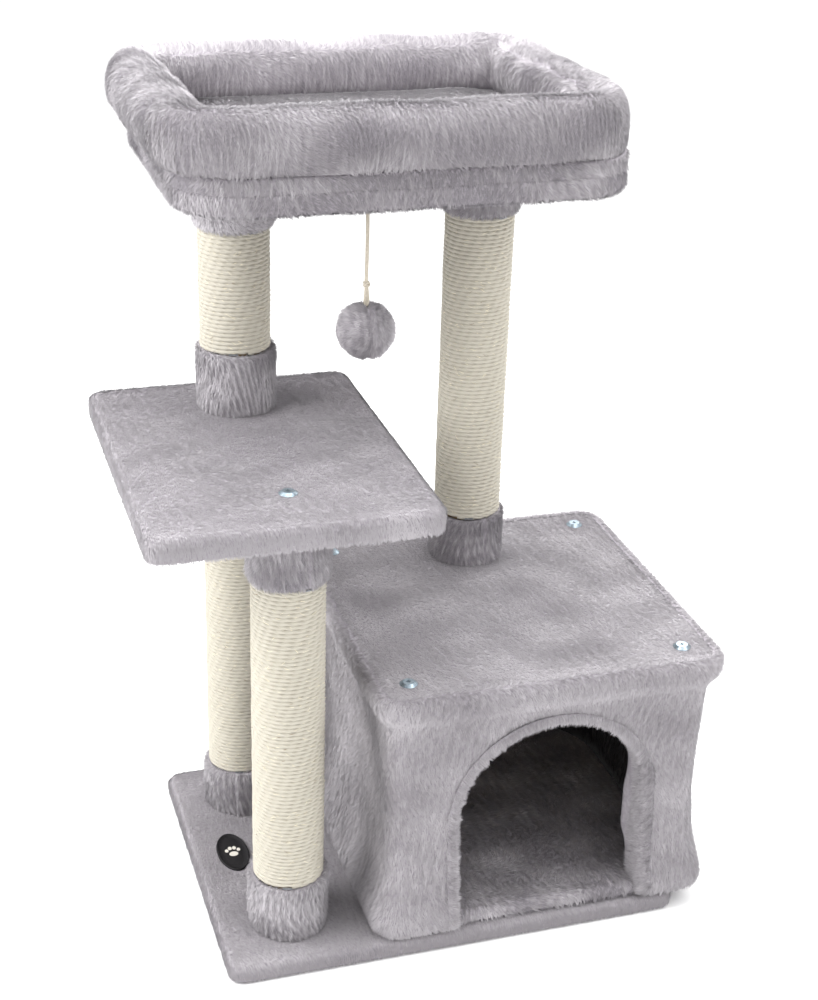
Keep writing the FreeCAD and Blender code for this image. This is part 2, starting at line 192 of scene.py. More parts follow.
# zinc-plated steel: bright, faintly blue, with the soft cloudiness of barrel plating; plain wire
# and bolts are greyer and duller
zinc = grainedMaterial("zincPlatedSteel", {"Metallic": 1.0, "Roughness": 0.32},
                       {"Scale": 900.0, "Detail": 3.0}, ((0.3, "#7C8B96"), (0.7, "#A8B4BD")))
steel = grainedMaterial("dullSteel", {"Metallic": 1.0, "Roughness": 0.45},
                        {"Scale": 700.0, "Detail": 4.0}, ((0.3, "#6F7276"), (0.7, "#9B9EA2")))


def boardMaterial(name, flake, low, high, roughness, stretch=None):
    # specks of that size in two colours, each a (place, hex) stop
    return grainedMaterial(name, {"Roughness": roughness, "Specular IOR Level": 0.25},
                           {"Scale": 1.0 / flake, "Detail": 5.0, "Roughness": 0.7}, (low, high),
                           (0.3, 0.5 * mm), stretch)


# pressed wood chips, 5 mm flakes; planed pine with grain along its length; wound grey-brown paper;
# needled black felt, 2 mm clumps
chipBoard = boardMaterial("particleBoard", 5 * mm, (0.3, "#A98A5F"), (0.7, "#D2B98E"), 0.75)
pine = boardMaterial("planedPine", 6 * mm, (0.35, "#C79E63"), (0.65, "#E6C893"), 0.6, (1.0, 1.0, 0.05))
paperTube = boardMaterial("woundPaper", 3 * mm, (0.3, "#8E7656"), (0.7, "#AD9573"), 0.85)
felt = boardMaterial("needledFelt", 2 * mm, (0.35, "#1B1A1C"), (0.65, "#312F33"), 0.95)
# braided polyester cord, off-white: 1 mm plaits
braid = boardMaterial("braidedCord", 1 * mm, (0.35, "#ABA292"), (0.65, "#CDC6B8"), 0.8)
# woven black satin for the patch, thread rows 0.6 mm apart, and off-white embroidery thread
satin = boardMaterial("wovenPatch", 0.6 * mm, (0.3, "#0E0D0F"), (0.7, "#232124"), 0.55)
thread = boardMaterial("embroideryThread", 0.8 * mm, (0.3, "#CFC9BE"), (0.7, "#F1EDE5"), 0.6)
print("materials made")

# shapes


def addPiece(name, mesh, materials, body="stand", smooth=True):
    piece = bpy.data.objects.new(name, mesh)
    scene.collection.objects.link(piece)
    if smooth:
        mesh.shade_smooth()
    for material in materials:
        mesh.materials.append(material)
    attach(piece, body)
    return piece


def standFor(piece, node):
    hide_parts(node)


def plushPiece(name, mesh, node, body="stand"):
    # the skin that the pile stands on
    piece = addPiece(name, mesh, [plushGround], body)
    standFor(piece, node)
    return piece


def roundedRing(centre, halfX, halfY, radius, z, perCorner=7, perSide=18):
    points = []
    signs = ((1, 1), (-1, 1), (-1, -1), (1, -1))
    for corner in range(4):
        sx, sy = signs[corner]
        middle = np.array([centre[0] + sx * (halfX - radius), centre[1] + sy * (halfY - radius)])
        angles = math.radians(90 * corner) + np.linspace(0, math.pi / 2, perCorner + 1)
        arc = middle + radius * np.stack([np.cos(angles), np.sin(angles)], 1)
        nx, ny = signs[(corner + 1) % 4]
        following = np.array([centre[0] + nx * (halfX - radius), centre[1] + ny * (halfY - radius)])
        turnEnd = math.radians(90 * (corner + 1))
        following = following + radius * np.array([math.cos(turnEnd), math.sin(turnEnd)])
        shares = np.linspace(0, 1, perSide + 1)[1:-1, None]
        points.append(arc)
        points.append(arc[-1] * (1 - shares) + following * shares)
    flat = np.concatenate(points)
    return np.column_stack([flat, np.full(len(flat), z)])


def insetRing(centre, half, corner, inset, z, **steps):
    return roundedRing(centre, half[0] - inset, half[1] - inset, corner - inset, z, **steps)


def shareRing(centre, half, corner, share, z, **steps):
    return roundedRing(centre, half[0] * share, half[1] * share, corner * share, z, **steps)


def loft(rings, closed=False, capStart=False, capEnd=False):
    # faces between one ring of points and the next
    count = len(rings[0])
    points = np.concatenate(rings)
    faces = []
    last = len(rings) if closed else len(rings) - 1
    for level in range(last):
        low = level * count
        high = ((level + 1) % len(rings)) * count
        for i in range(count):
            j = (i + 1) % count
            faces.append((low + i, low + j, high + j, high + i))
    if capStart:
        faces.append(tuple(reversed(range(count))))
    if capEnd:
        faces.append(tuple(range((len(rings) - 1) * count, len(rings) * count)))
    mesh = bpy.data.meshes.new("loft")
    mesh.from_pydata(points.tolist(), [], faces)
    mesh.update()
    return mesh


def meshOf(name, points, corners, starts):
    # corners lists every face's points in turn, and starts says where each face begins in it
    mesh = bpy.data.meshes.new(name)
    mesh.vertices.add(points.size // 3)
    mesh.vertices.foreach_set("co", points.astype(np.float32).ravel())
    mesh.loops.add(corners.size)
    mesh.loops.foreach_set("vertex_index", corners.astype(np.int32).ravel())
    mesh.polygons.add(starts.size)
    mesh.polygons.foreach_set("loop_start", starts.astype(np.int32).ravel())
    mesh.update()
    return mesh


def readTriples(items, key, kind=np.float32):
    flat = np.zeros(len(items) * 3, kind)
    items.foreach_get(key, flat)
    return flat.reshape(-1, 3)


def readPoints(mesh):
    return readTriples(mesh.vertices, "co").astype(float)


def readNormals(mesh):
    return readTriples(mesh.vertex_normals, "vector").astype(float)


def writePoints(mesh, points):
    mesh.vertices.foreach_set("co", points.astype(np.float32).ravel())
    mesh.update()


def ripple(points, size, seed):
    # smooth pseudo-random field from a few crossed waves, about -1 to 1, with bumps of that size
    rng = np.random.default_rng(seed)
    total = np.zeros(len(points))
    for step in range(7):
        way = rng.normal(size=3)
        way /= np.linalg.norm(way)
        pitch = size * rng.uniform(0.7, 1.8)
        total += np.sin(points @ way * (2 * math.pi / pitch) + rng.uniform(0, 6.28))
    return total / 3.2


def unit(vectors):
    return vectors / np.maximum(np.linalg.norm(vectors, axis=-1, keepdims=True), 1e-9)


pileLook = {
    "spacing": 1.4 * mm,     # between tufts
    "length": 7.0 * mm,
    "width": 0.95 * mm,
    "lift": 24.0,            # degrees that the pile stands off the ground
    "swirl": 22.0,           # degrees that brushed patches turn the nap
    "sweep": 90 * mm,        # width of such a patch
    "stray": 9.0,            # degrees from tuft to tuft
    "lock": 5.0 * mm,        # tufts gather into locks this wide
    "gather": 1.1 * mm,
    "relief": 0.8,           # how round the locks look
    "shade": 0.45,           # how much a tuft shades as itself, not as the cloth
    "drift": 0.8,            # broad patches of lighter and darker pile, in tones: painted sheen, as brushed nap shows
    "cloud": 55 * mm,        # width of those patches
    "streak": 1.1,           # lighter and darker locks: painted light on the locks and painted shade in the partings between them
    "grain": 0.3,            # the same from tuft to tuft
    "tint": 0.0,             # painted light and shade: the same all over, the piece's tone shifted lighter or darker for the light it gets
    "bloom": 0.0,            # painted top light: the same for level cloth, painted lighter as if lit from above
    "roll": 18.0,            # degrees that each tuft leans about its own length
    "uneven": 1.0,           # how much brushing lifts and lays the pile
    "patch": 50 * mm,        # width of a lifted or laid patch
    "tones": plushTones,
    "floor": 0.4 * mm,       # no tuft hangs lower than this
    "most": 64000,           # tufts in one piece
}


def growPile(name, source, comb, seed, keep=None, body="stand", **changes):
    # lays tufts over the source's mesh, each a slim spike combed along the nap
    look = dict(pileLook, **changes)
    rng = np.random.default_rng(seed)
    points, normals = readPoints(source.data), readNormals(source.data)
    source.data.calc_loop_triangles()
    corners = readTriples(source.data.loop_triangles, "vertices", np.int32)
    a, b, c = (points[corners[:, k]] for k in range(3))
    area = np.linalg.norm(np.cross(b - a, c - a), axis=1) / 2
    total = area.sum()
    count = int(total / look["spacing"] ** 2)
    edges = np.cumsum(area)
    chosen = np.searchsorted(edges, (np.arange(count) + rng.random(count)) / count * total)
    chosen = np.minimum(chosen, len(area) - 1)
    u = np.sqrt(rng.random(count))[:, None]
    v = rng.random(count)[:, None]
    wa, wb, wc = 1 - u, u * (1 - v), u * v
    root = wa * a[chosen] + wb * b[chosen] + wc * c[chosen]
    na, nb, nc = (normals[corners[chosen, k]] for k in range(3))
    up = unit(wa * na + wb * nb + wc * nc)
    if keep is not None:
        kept = keep(root, up)
        root, up = root[kept], up[kept]
        count = len(root)
    nap = comb(root, up) if callable(comb) else np.tile(np.array(comb, float), (count, 1))
    nap = unit(nap - up * np.sum(nap * up, axis=1, keepdims=True))

    def turned(way, degrees):
        swing = np.radians(degrees)[:, None]
        return way * np.cos(swing) + np.cross(way, up) * np.sin(swing)

    nap = turned(nap, look["swirl"] * ripple(root, look["sweep"], seed + 1))
    across = np.cross(nap, up)
    # locks are long along the nap: upright on the walls, front to back on the flats
    level = np.abs(up[:, 2:3]) > 0.6
    drawn = root * np.where(level, (1.0, 0.3, 1.0), (1.0, 1.0, 0.3))
    aside = drawn + across * 0.5 * mm
    lock = ripple(drawn, look["lock"], seed + 3)
    slope = (ripple(aside, look["lock"], seed + 3) - lock)[:, None]
    nap = turned(nap, rng.normal(0, look["stray"], count))
    patches = look["uneven"] * (0.3 * ripple(root, look["patch"], seed + 2) + 0.25 * lock)
    lift = np.radians(look["lift"] * (1 + patches) + rng.normal(0, 5 * look["uneven"], count))[:, None]
    length = (look["length"] * (1 + 0.12 * lock) * rng.uniform(0.75, 1.15, count))[:, None]
    roll = np.radians(rng.normal(0, look["roll"], count))[:, None]
    side = np.cross(nap, up) * np.cos(roll) + up * np.sin(roll)
    half = (look["width"] / 2 * rng.uniform(0.75, 1.2, count))[:, None]
    tip = root + length * (nap * np.cos(lift) + up * np.sin(lift))
    tip += across * look["gather"] * np.tanh(slope * 2.5)
    tip[:, 2] = np.maximum(tip[:, 2], look["floor"])
    face = unit(np.cross(side, tip - root))
    root = root + up * 0.1 * mm
    # flat side out, keel towards the cloth
    spikes = np.stack([root - side * half, root + side * half, root - face * half * 1.1, tip], axis=1)
    own = look["shade"]
    # a lock shades like a rounded form
    rounded = (up + across * look["relief"] * np.tanh(slope * 3)) * (1 - own) + face * own
    shadeRoot = unit(rounded)
    shading = np.stack([unit(shadeRoot - side * 0.25), unit(shadeRoot + side * 0.25), shadeRoot,
                        unit(rounded + nap * 0.25)], axis=1)
    tones = look["tones"]
    # painted light and shade: each piece's tone shifted lighter or darker for the light it gets
    tone = (len(tones) - 1) / 2 + look["tint"]
    # painted sheen: broad lighter and darker patches as brushed nap shows
    tone = tone + look["drift"] * ripple(root * (0.6, 1, 1), look["cloud"], seed + 4)
    # painted light and shade: lighter locks, shade in the partings between them
    # painted top light: cloth facing up is painted lighter, as if lit from above
    tone += look["streak"] * lock + look["bloom"] * np.clip(up[:, 2] * 2 - 0.8, 0, 1)
    tone = np.round(tone + rng.normal(0, look["grain"], count))
    tone = np.clip(tone, 0, len(tones) - 1).astype(np.int32)
    parts = math.ceil(count / look["most"])
    order = np.argsort(root[:, 0], kind="stable")
    for part, mine in enumerate(np.array_split(order, parts)):
        label = name if parts == 1 else name + str(part + 1)
        first = (np.arange(len(mine)) * 4)[:, None]
        mesh = meshOf(label, spikes[mine], first + np.array([0, 1, 3, 1, 2, 3, 2, 0, 3]),
                      np.arange(0, len(mine) * 9, 3))
        bent = mesh.attributes.new("custom_normal", "FLOAT_VECTOR", "POINT")
        bent.data.foreach_set("vector", shading[mine].astype(np.float32).ravel())
        pile = addPiece(label, mesh, tones, body, smooth=False)
        mesh.polygons.foreach_set("material_index", np.repeat(tone[mine], 3))


def boxOf(node):
    low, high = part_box(node)
    return np.array(low), np.array(high)


# toy cord
toyLook = {
    "cordWidth": 3.6 * mm,
    "knotAbove": 17 * mm,     # over the ball
    "skin": 2.2 * mm,         # how far the ball's cloth lies inside its pile
    "seam": 1.6 * mm,         # depth of the seam round the ball
    "swell": 0.02,            # unevenness of the filling, as a share of the radius
}
cordLow, cordHigh = boxOf("toy_cord")
toySpot = (cordLow + cordHigh) / 2
cordTop = Vector((toySpot[0], toySpot[1], cordHigh[2]))
cordEnd = Vector((toySpot[0], toySpot[1], cordLow[2]))
# the route from the loop down to the ball, as the design lays it: pulled straight by the ball
cordRoute = [cordTop, cordTop.lerp(cordEnd, 0.33) + Vector((0.0004, 0, 0)),
             cordTop.lerp(cordEnd, 0.7) + Vector((-0.0004, 0, 0)), cordEnd]
cordCurve = bpy.data.curves.new("toyCord", "CURVE")
cordCurve.dimensions = "3D"
line = cordCurve.splines.new("NURBS")
line.points.add(len(cordRoute) - 1)
for point, place in zip(line.points, cordRoute):
    point.co = (*place, 1)
line.order_u = 3
line.use_endpoint_u = True
line.resolution_u = 12
cordCurve.bevel_depth = toyLook["cordWidth"] / 2
cordCurve.bevel_resolution = 4
toyCord = addPiece("toyCord", cordCurve, [braid], "toy", smooth=False)
standFor(toyCord, "toy_cord")


def windCord(name, places, width):
    # a short closed run of the same cord
    curve = bpy.data.curves.new(name, "CURVE")
    curve.dimensions = "3D"
    run = curve.splines.new("NURBS")
    run.points.add(len(places) - 1)
    for point, place in zip(run.points, places):
        point.co = (*place, 1)
    run.use_cyclic_u = True
    run.order_u = 4
    curve.bevel_depth = width / 2
    curve.bevel_resolution = 3
    held = bpy.data.objects.new(name, curve)
    scene.collection.objects.link(held)
    mesh = bpy.data.meshes.new_from_object(held.evaluated_get(bpy.context.evaluated_depsgraph_get()))
    bpy.data.objects.remove(held)
    piece = addPiece(name, mesh, [braid], "toy")
    return piece


ballLow, ballHigh = boxOf("toy_ball")
ballCentre = (ballLow + ballHigh) / 2
ballRadius = (ballHigh[2] - ballLow[2]) / 2
knotZ = ballHigh[2] + toyLook["knotAbove"]
strand = toyLook["cordWidth"] / 2
knotRoute = []
for step in range(18):       # two turns about the cord that drop and cross themselves
    angle = step / 18 * 4 * math.pi
    reach = strand * (1.35 + 0.25 * math.cos(angle * 1.5))
    knotRoute.append((toySpot[0] + reach * math.cos(angle), toySpot[1] + reach * math.sin(angle),
                      knotZ + strand * 1.1 * math.sin(angle * 1.5)))
toyKnot = windCord("toyKnot", knotRoute, toyLook["cordWidth"] * 0.62)
legRoute = []
for step in range(14):       # the doubled length from the knot down into the ball
    angle = step / 14 * 2 * math.pi
    legRoute.append((toySpot[0] + strand * 1.5 * math.cos(angle) * (0.55 - 0.45 * math.sin(angle)),
                     toySpot[1] - strand * 0.6,
                     (knotZ + ballHigh[2]) / 2 - 2 * mm
                     + (toyLook["knotAbove"] / 2 + 2 * mm) * math.sin(angle)))
toyLeg = windCord("toyCordLeg", legRoute, toyLook["cordWidth"] * 0.7)
print("toy cord hung")


# ball: two sewn halves of plush over fibre fill
def ballMesh(radius, seamDepth):
    mesh = bpy.data.meshes.new("toyBall")
    form = bmesh.new()
    bmesh.ops.create_icosphere(form, subdivisions=5, radius=1)
    for vert in form.verts:
        way = vert.co.normalized()
        seam = math.exp(-(way.x / 0.07) ** 2)        # shares of the radius
        dent = math.exp(-((way - Vector((0, 0, 1))).length / 0.3) ** 2)
        swell = toyLook["swell"] * noise.noise(way * 2.2)
        vert.co = way * radius * (1 + swell) - way * seamDepth * (seam + 1.2 * dent)
    form.to_mesh(mesh)
    form.free()
    mesh.transform(Matrix.Translation(Vector(ballCentre)))
    return mesh


toyBall = plushPiece("toyBall", ballMesh(ballRadius - toyLook["skin"], toyLook["seam"]), "toy_ball", "toy")


def ballNap(root, up):
    out = root - ballCentre
    return np.stack([np.sign(out[:, 0]) * 0.5, np.full(len(root), 0.25), np.full(len(root), -1.0)], 1)


growPile("toyBallPile", toyBall, ballNap, 11, body="toy", length=4.6 * mm, lift=34, spacing=1.1 * mm,
         swirl=50, width=0.9 * mm, keep=lambda p, n: np.abs(p[:, 0] - ballCentre[0]) > 0.5 * mm)
print("ball sewn")

# posts
ropeLook = {
    "thickness": 5.7 * mm,    # before the wraps press into each other
    "pitch": 4.3 * mm,
    "lay": 30.0 * mm,         # length of one twist
    "lobe": 0.28,             # depth between the strands
    "step": 2.04 * mm,
    "sides": 12,
    "wander": 0.16 * mm,
    "looseFibres": 2600,      # per metre of post
}


def setMap(layer, u, v):
    layer.data.foreach_set("uv", np.stack([u, v], 1).astype(np.float32).ravel())


def windRope(name, node, seed):
    low, high = boxOf(node)
    centre = (low + high) / 2
    outer = (high[0] - low[0]) / 2
    ropeRadius = ropeLook["thickness"] / 2
    path = outer - ropeRadius
    rise = high[2] - low[2] - 2 * ropeRadius
    wraps = rise / ropeLook["pitch"] + 1.2
    run = wraps * 2 * math.pi * path
    rings = int(run / ropeLook["step"])
    rng = np.random.default_rng(seed)
    along = np.linspace(0, run, rings)
    angle = along / path + rng.uniform(0, 6.28)
    # the first and last wraps lie level
    height = low[2] + ropeRadius + np.clip(along / run * (rise + 1.2 * ropeLook["pitch"])
                                           - 0.6 * ropeLook["pitch"], 0, rise)
    spot = np.stack([np.cos(angle) * path, np.sin(angle) * path, height], 1)
    wave = ripple(spot, 0.05, seed) * ropeLook["wander"]
    height = height + wave
    radial = np.stack([np.cos(angle), np.sin(angle), np.zeros(rings)], 1)
    sink = ripple(spot, 0.03, seed + 1) * ropeLook["wander"]
    axis = np.array([0.0, 0.0, 1.0])
    middle = np.column_stack([centre[0] + radial[:, 0] * (path + sink - 0.1 * mm),
                              centre[1] + radial[:, 1] * (path + sink - 0.1 * mm), height])
    sides = ropeLook["sides"]
    phi = np.arange(sides) / sides * 2 * math.pi
    lobe = 1 - ropeLook["lobe"] * (1 - np.abs(np.cos(1.5 * phi)) ** 0.7)
    twist = along / ropeLook["lay"] * 2 * math.pi + 0.5 * ripple(spot, 0.08, seed + 2)
    whole = phi[None, :] + twist[:, None]
    fat = (1 + 0.05 * ripple(spot, 0.02, seed + 3))[:, None]
    reach = ropeRadius * lobe[None, :] * fat
    ringPoints = (middle[:, None, :] + radial[:, None, :] * (np.cos(whole) * reach)[..., None]
                  - axis * (np.sin(whole) * reach)[..., None])
    i = np.arange(rings - 1)[:, None] * sides
    j = np.arange(sides)[None, :]
    k = (j + 1) % sides
    quads = np.stack([i + j, i + sides + j, i + sides + k, i + k], -1).reshape(-1, 4)
    mesh = meshOf(name, ringPoints, quads, np.arange(0, len(quads) * 4, 4))
    # one map runs along the strands for the fibre pattern, the other wraps round the post
    runMap = mesh.uv_layers.new(name="strandRun")
    corner = quads.ravel()
    ringIndex, sideIndex = corner // sides, corner % sides
    isWrap = (np.tile([0, 0, 1, 1], len(quads)) == 1) & (sideIndex == 0)
    uSide = np.where(isWrap, sides, sideIndex)
    setMap(runMap, uSide / sides, along[ringIndex])
    wrapMap = mesh.uv_layers.new(name="OFBake")
    startAngle = angle[quads[:, 0] // sides]
    turns = np.floor(startAngle / (2 * math.pi))
    around = angle[ringIndex] / (2 * math.pi) - np.repeat(turns, 4)
    rows = (ringPoints.reshape(-1, 3)[corner, 2] - low[2]) / (high[2] - low[2])
    setMap(wrapMap, around * 0.98, np.clip(rows, 0, 1))
    mesh.update()
    standFor(addPiece(name, mesh, [sisal]), node)


def looseFibres(name, node, seed):
    # stray ends that stand off the rope
    low, high = boxOf(node)
    centre = (low + high) / 2
    outer = (high[0] - low[0]) / 2
    rng = np.random.default_rng(seed)
    count = int(ropeLook["looseFibres"] * (high[2] - low[2]))
    angle = rng.uniform(0, 2 * math.pi, count)
    z = rng.uniform(low[2] + 2 * mm, high[2] - 2 * mm, count)
    radial = np.stack([np.cos(angle), np.sin(angle), np.zeros(count)], 1)
    tangent = np.stack([-np.sin(angle), np.cos(angle), np.zeros(count)], 1)
    root = np.array([centre[0], centre[1], 0]) + radial * (outer - 0.7 * mm)
    root[:, 2] = z
    way = unit(tangent * rng.choice([-1, 1], count)[:, None]
               + np.array([0, 0, 1]) * rng.normal(0, 0.5, count)[:, None])
    length = rng.uniform(2.5, 7.0, count)[:, None] * mm
    half = rng.uniform(0.1, 0.2, count)[:, None] * mm
    middle = root + way * length * 0.5 + radial * 0.7 * mm
    tip = middle + way * length * 0.5 + radial * rng.uniform(-0.6, 1.2, count)[:, None] * mm
    side = np.cross(way, radial)
    across = side * half
    points = np.stack([root - across, root + across, middle + across, middle - across, tip], 1)
    one = np.arange(count)[:, None]
    mesh = meshOf(name, points, one * 5 + np.array([0, 1, 2, 3, 3, 2, 4]), one * 7 + np.array([0, 4]))
    fibres = addPiece(name, mesh, fibreTones, smooth=False)
    mesh.polygons.foreach_set("material_index", np.repeat((rng.random(count) < 0.12).astype(np.int32), 2))


collarLook = {
    "skin": 1.0 * mm,
    "pile": 6.0 * mm,
    "flare": 1.0 * mm,
    "lap": 1.8 * mm,
    "swell": 0.9 * mm,
    "hem": 4.5 * mm,          # how far the free edge is turned in
    # the seam's place round each post in degrees, and each collar's tone shifted lighter or darker as
    # painted light and shade
    "seam": {"front_post": -72.0, "rear_post": 60.0, "upper_post": 110.0, "tall_post": 95.0},
    "tint": {"front_post": 0.0, "rear_post": 0.0, "upper_post": 0.9, "tall_post": -1.2},
}


def faceOut(mesh, middle=None):
    # turns the faces outwards; an open form says what middle it stands round
    form = bmesh.new()
    form.from_mesh(mesh)
    bmesh.ops.recalc_face_normals(form, faces=form.faces)
    if middle is not None:
        score = 0.0
        for face in form.faces:
            out = face.calc_center_median() - Vector(middle)
            out.z = 0
            score += face.normal.dot(out) * face.calc_area()
        if score < 0:
            bmesh.ops.reverse_faces(form, faces=form.faces)
    form.to_mesh(mesh)
    form.free()
    mesh.update()


def dressCollar(name, node, seed, openUp, seam, tint):
    # plush sleeve over the end of a post, lapped at its seam; the free edge flares a little
    low, high = boxOf(node)
    centre = (low + high) / 2
    outer = (high[0] - low[0]) / 2 - collarLook["skin"]
    height = high[2] - low[2]
    around = np.linspace(0, 2 * math.pi, 121)[:-1]
    past = (around - math.radians(seam)) % (2 * math.pi)
    lap = collarLook["lap"] * np.clip(1 - past / 1.1, 0, 1)
    freeEdge = 1.0 if openUp else 0.0
    hem = outer - collarLook["hem"]
    profile = [(hem, abs(freeEdge - 0.06)), (hem, freeEdge), (outer - 1.8 * mm, freeEdge)]
    levels = np.linspace(0, 1, 12)
    for share in (levels[::-1] if openUp else levels):
        nearEdge = 1 - abs(share - freeEdge)
        swell = collarLook["flare"] * nearEdge ** 6 + collarLook["swell"] * math.sin(math.pi * share)
        profile.append((outer + swell - (1.2 * mm if share == freeEdge else 0), share))
    rings = []
    for radius, share in profile:
        reach = radius + 0.5 * mm * np.sin(around * 3 + seed) * math.sin(math.pi * share) + lap
        rim = 0.9 * mm * np.sin(around * 2 + seed * 2) * (1 - abs(share - freeEdge)) ** 4
        rings.append(np.column_stack([centre[0] + np.cos(around) * reach,
                                      centre[1] + np.sin(around) * reach, low[2] + height * share + rim]))
    mesh = loft(rings)
    faceOut(mesh, centre)
    collar = plushPiece(name, mesh, node)

    def outside(points, normals):
        across = points[:, :2] - centre[:2]
        angle = (np.arctan2(across[:, 1], across[:, 0]) - math.radians(seam)) % (2 * math.pi)
        return (np.hypot(across[:, 0], across[:, 1]) > outer - 3 * mm) & (angle < 2 * math.pi - 0.05)

    # painted light and shade: this collar's pile shifted lighter or darker for the light it gets
    growPile(name + "Pile", collar, (0.15, 0.0, -1.0), seed, keep=outside, lift=26, swirl=40,
             tint=tint, length=collarLook["pile"], drift=1.2, streak=1.3, lock=4.0 * mm, spacing=1.25 * mm)


for index, post in enumerate(("front_post", "rear_post", "upper_post", "tall_post")):
    label = post.replace("_post", "Post")
    windRope(label + "Rope", post + "_rope", 40 + index)
    looseFibres(label + "Fibres", post + "_rope", 60 + index)
    seam = collarLook["seam"][post]
    dressCollar(label + "BottomCollar", post + "_bottom_collar", 80 + index, True, seam + 190,
                collarLook["tint"][post])
    dressCollar(label + "TopCollar", post + "_top_collar", 90 + index, False, seam,
                collarLook["tint"][post])
print("posts wound")

# covered boards
coverLook = {"skin": 0.6 * mm, "edge": 7.0 * mm, "sag": 0.6 * mm, "hem": 40 * mm}
# short dense pile on the flats, longer and looser on the sides
# the flats' level cloth is painted a little lighter, as if lit from above
flatPile = {"spacing": 1.25 * mm, "width": 0.9 * mm, "length": 5.4 * mm, "lift": 13, "streak": 0.1,
            "drift": 0.5, "gather": 0.3 * mm, "lock": 8.0 * mm, "relief": 0.2, "shade": 0.1, "swirl": 14,
            "grain": 0.2, "stray": 6.0, "bloom": 0.3, "uneven": 0.25, "patch": 110 * mm, "roll": 6.0}
sidePile = {"lift": 25, "length": 7.0 * mm, "streak": 0.8}


def coverMesh(low, high, corner):
    # closed plush wrap: hem round the window underneath, rounded edges, and a soft top
    skin, edge, hem = coverLook["skin"], coverLook["edge"], coverLook["hem"]
    centre = (low + high) / 2
    half = (high - low) / 2 - skin
    bottom, top = low[2] + 0.2 * mm, high[2] - skin
    rings = []
    for lift in (1.8 * mm, 0):
        rings.append(roundedRing(centre, half[0] - hem, half[1] - hem, corner * 0.6, bottom + lift))
    for share in (0, 0.33, 0.66, 1.0):       # lower edge
        angle = share * math.pi / 2
        inset = edge * 0.6 * (1 - math.sin(angle))
        rings.append(insetRing(centre, half, corner, inset, bottom + edge * 0.6 * (1 - math.cos(angle))))
    for share in (0, 0.33, 0.66, 1.0):       # upper edge
        angle = share * math.pi / 2
        inset = edge * (1 - math.cos(angle))
        rings.append(insetRing(centre, half, corner, inset, top - edge * (1 - math.sin(angle))))
    for share in np.linspace(0.93, 0.12, 9):
        rings.append(shareRing(centre, half - edge, corner - edge, share, top))
    mesh = loft(rings, capEnd=True)
    points = readPoints(mesh)
    upward = points[:, 2] > top - 0.5 * mm
    points[upward, 2] -= coverLook["sag"] * (0.5 + 0.5 * ripple(points[upward], 0.12, 5))
    writePoints(mesh, points)
    return mesh


def clearOf(spots, side=1):
    # keeps the pile off what stands on the cloth, or under it for side -1: (x, y, radius) spots
    def keep(points, normals):
        kept = np.ones(len(points), bool)
        for x, y, radius in spots:
            kept &= (np.hypot(points[:, 0] - x, points[:, 1] - y) > radius) | (normals[:, 2] * side < 0.5)
        return kept
    return keep


def footOf(node):
    # a spot that reaches 3 mm under the edge of the node
    low, high = boxOf(node)
    return ((low[0] + high[0]) / 2, (low[1] + high[1]) / 2, (high[0] - low[0]) / 2 - 3 * mm)


def screwSpot(foot):
    # the pile closes over the rim of each cup washer
    return foot[:2] + (5.8 * mm,)


def flatNap(points, normals):
    # towards the front on top, downwards on the edges
    return np.stack([np.full(len(points), 0.12), -0.9 * normals[:, 2].clip(0) - 0.05,
                     -1.2 * (1 - np.abs(normals[:, 2]))], 1)


def wallNap(points, normals):
    return np.tile((0.1, -0.02, -1.0), (len(points), 1))


baseLow, baseHigh = boxOf("base_cover")
baseCover = plushPiece("baseCover", coverMesh(baseLow, baseHigh, 15 * mm), "base_cover")
houseLow, houseHigh = boxOf("house_wall_cloth")
labelLow, labelHigh = boxOf("oval_label")
labelCentre = (labelLow + labelHigh) / 2
frontFoot = footOf("front_post_bottom_collar")
rearFoot = footOf("rear_post_bottom_collar")


def baseKeep(points, normals):
    kept = clearOf([frontFoot, rearFoot])(points, normals)
    underHouse = (points[:, 0] > houseLow[0] + 8 * mm) & (normals[:, 2] > 0.5) & (
        np.abs(points[:, 1]) < houseHigh[1] - 12 * mm)
    oval = (((points[:, 0] - labelCentre[0]) / (labelHigh[0] - labelLow[0])) ** 2
            + ((points[:, 1] - labelCentre[1]) / (labelHigh[1] - labelLow[1])) ** 2) < 0.25
    return kept & ~underHouse & ~oval & (normals[:, 2] > -0.6)


# painted light and shade: the base's pile shifted darker, with its level top painted lighter as if lit from
# above
growPile("baseCoverPile", baseCover, flatNap, 101, tint=-1.3, keep=baseKeep,
         **dict(flatPile, bloom=1.3))

platformLow, platformHigh = boxOf("platform_cover")
platformCover = plushPiece("platformCover", coverMesh(platformLow, platformHigh, 16 * mm), "platform_cover")
platformKeep = clearOf([screwSpot(frontFoot), footOf("upper_post_bottom_collar")])
growPile("platformPile", platformCover, flatNap, 102,
         keep=lambda p, n: platformKeep(p, n) & (n[:, 2] > -0.7), **flatPile)
print("boards covered")

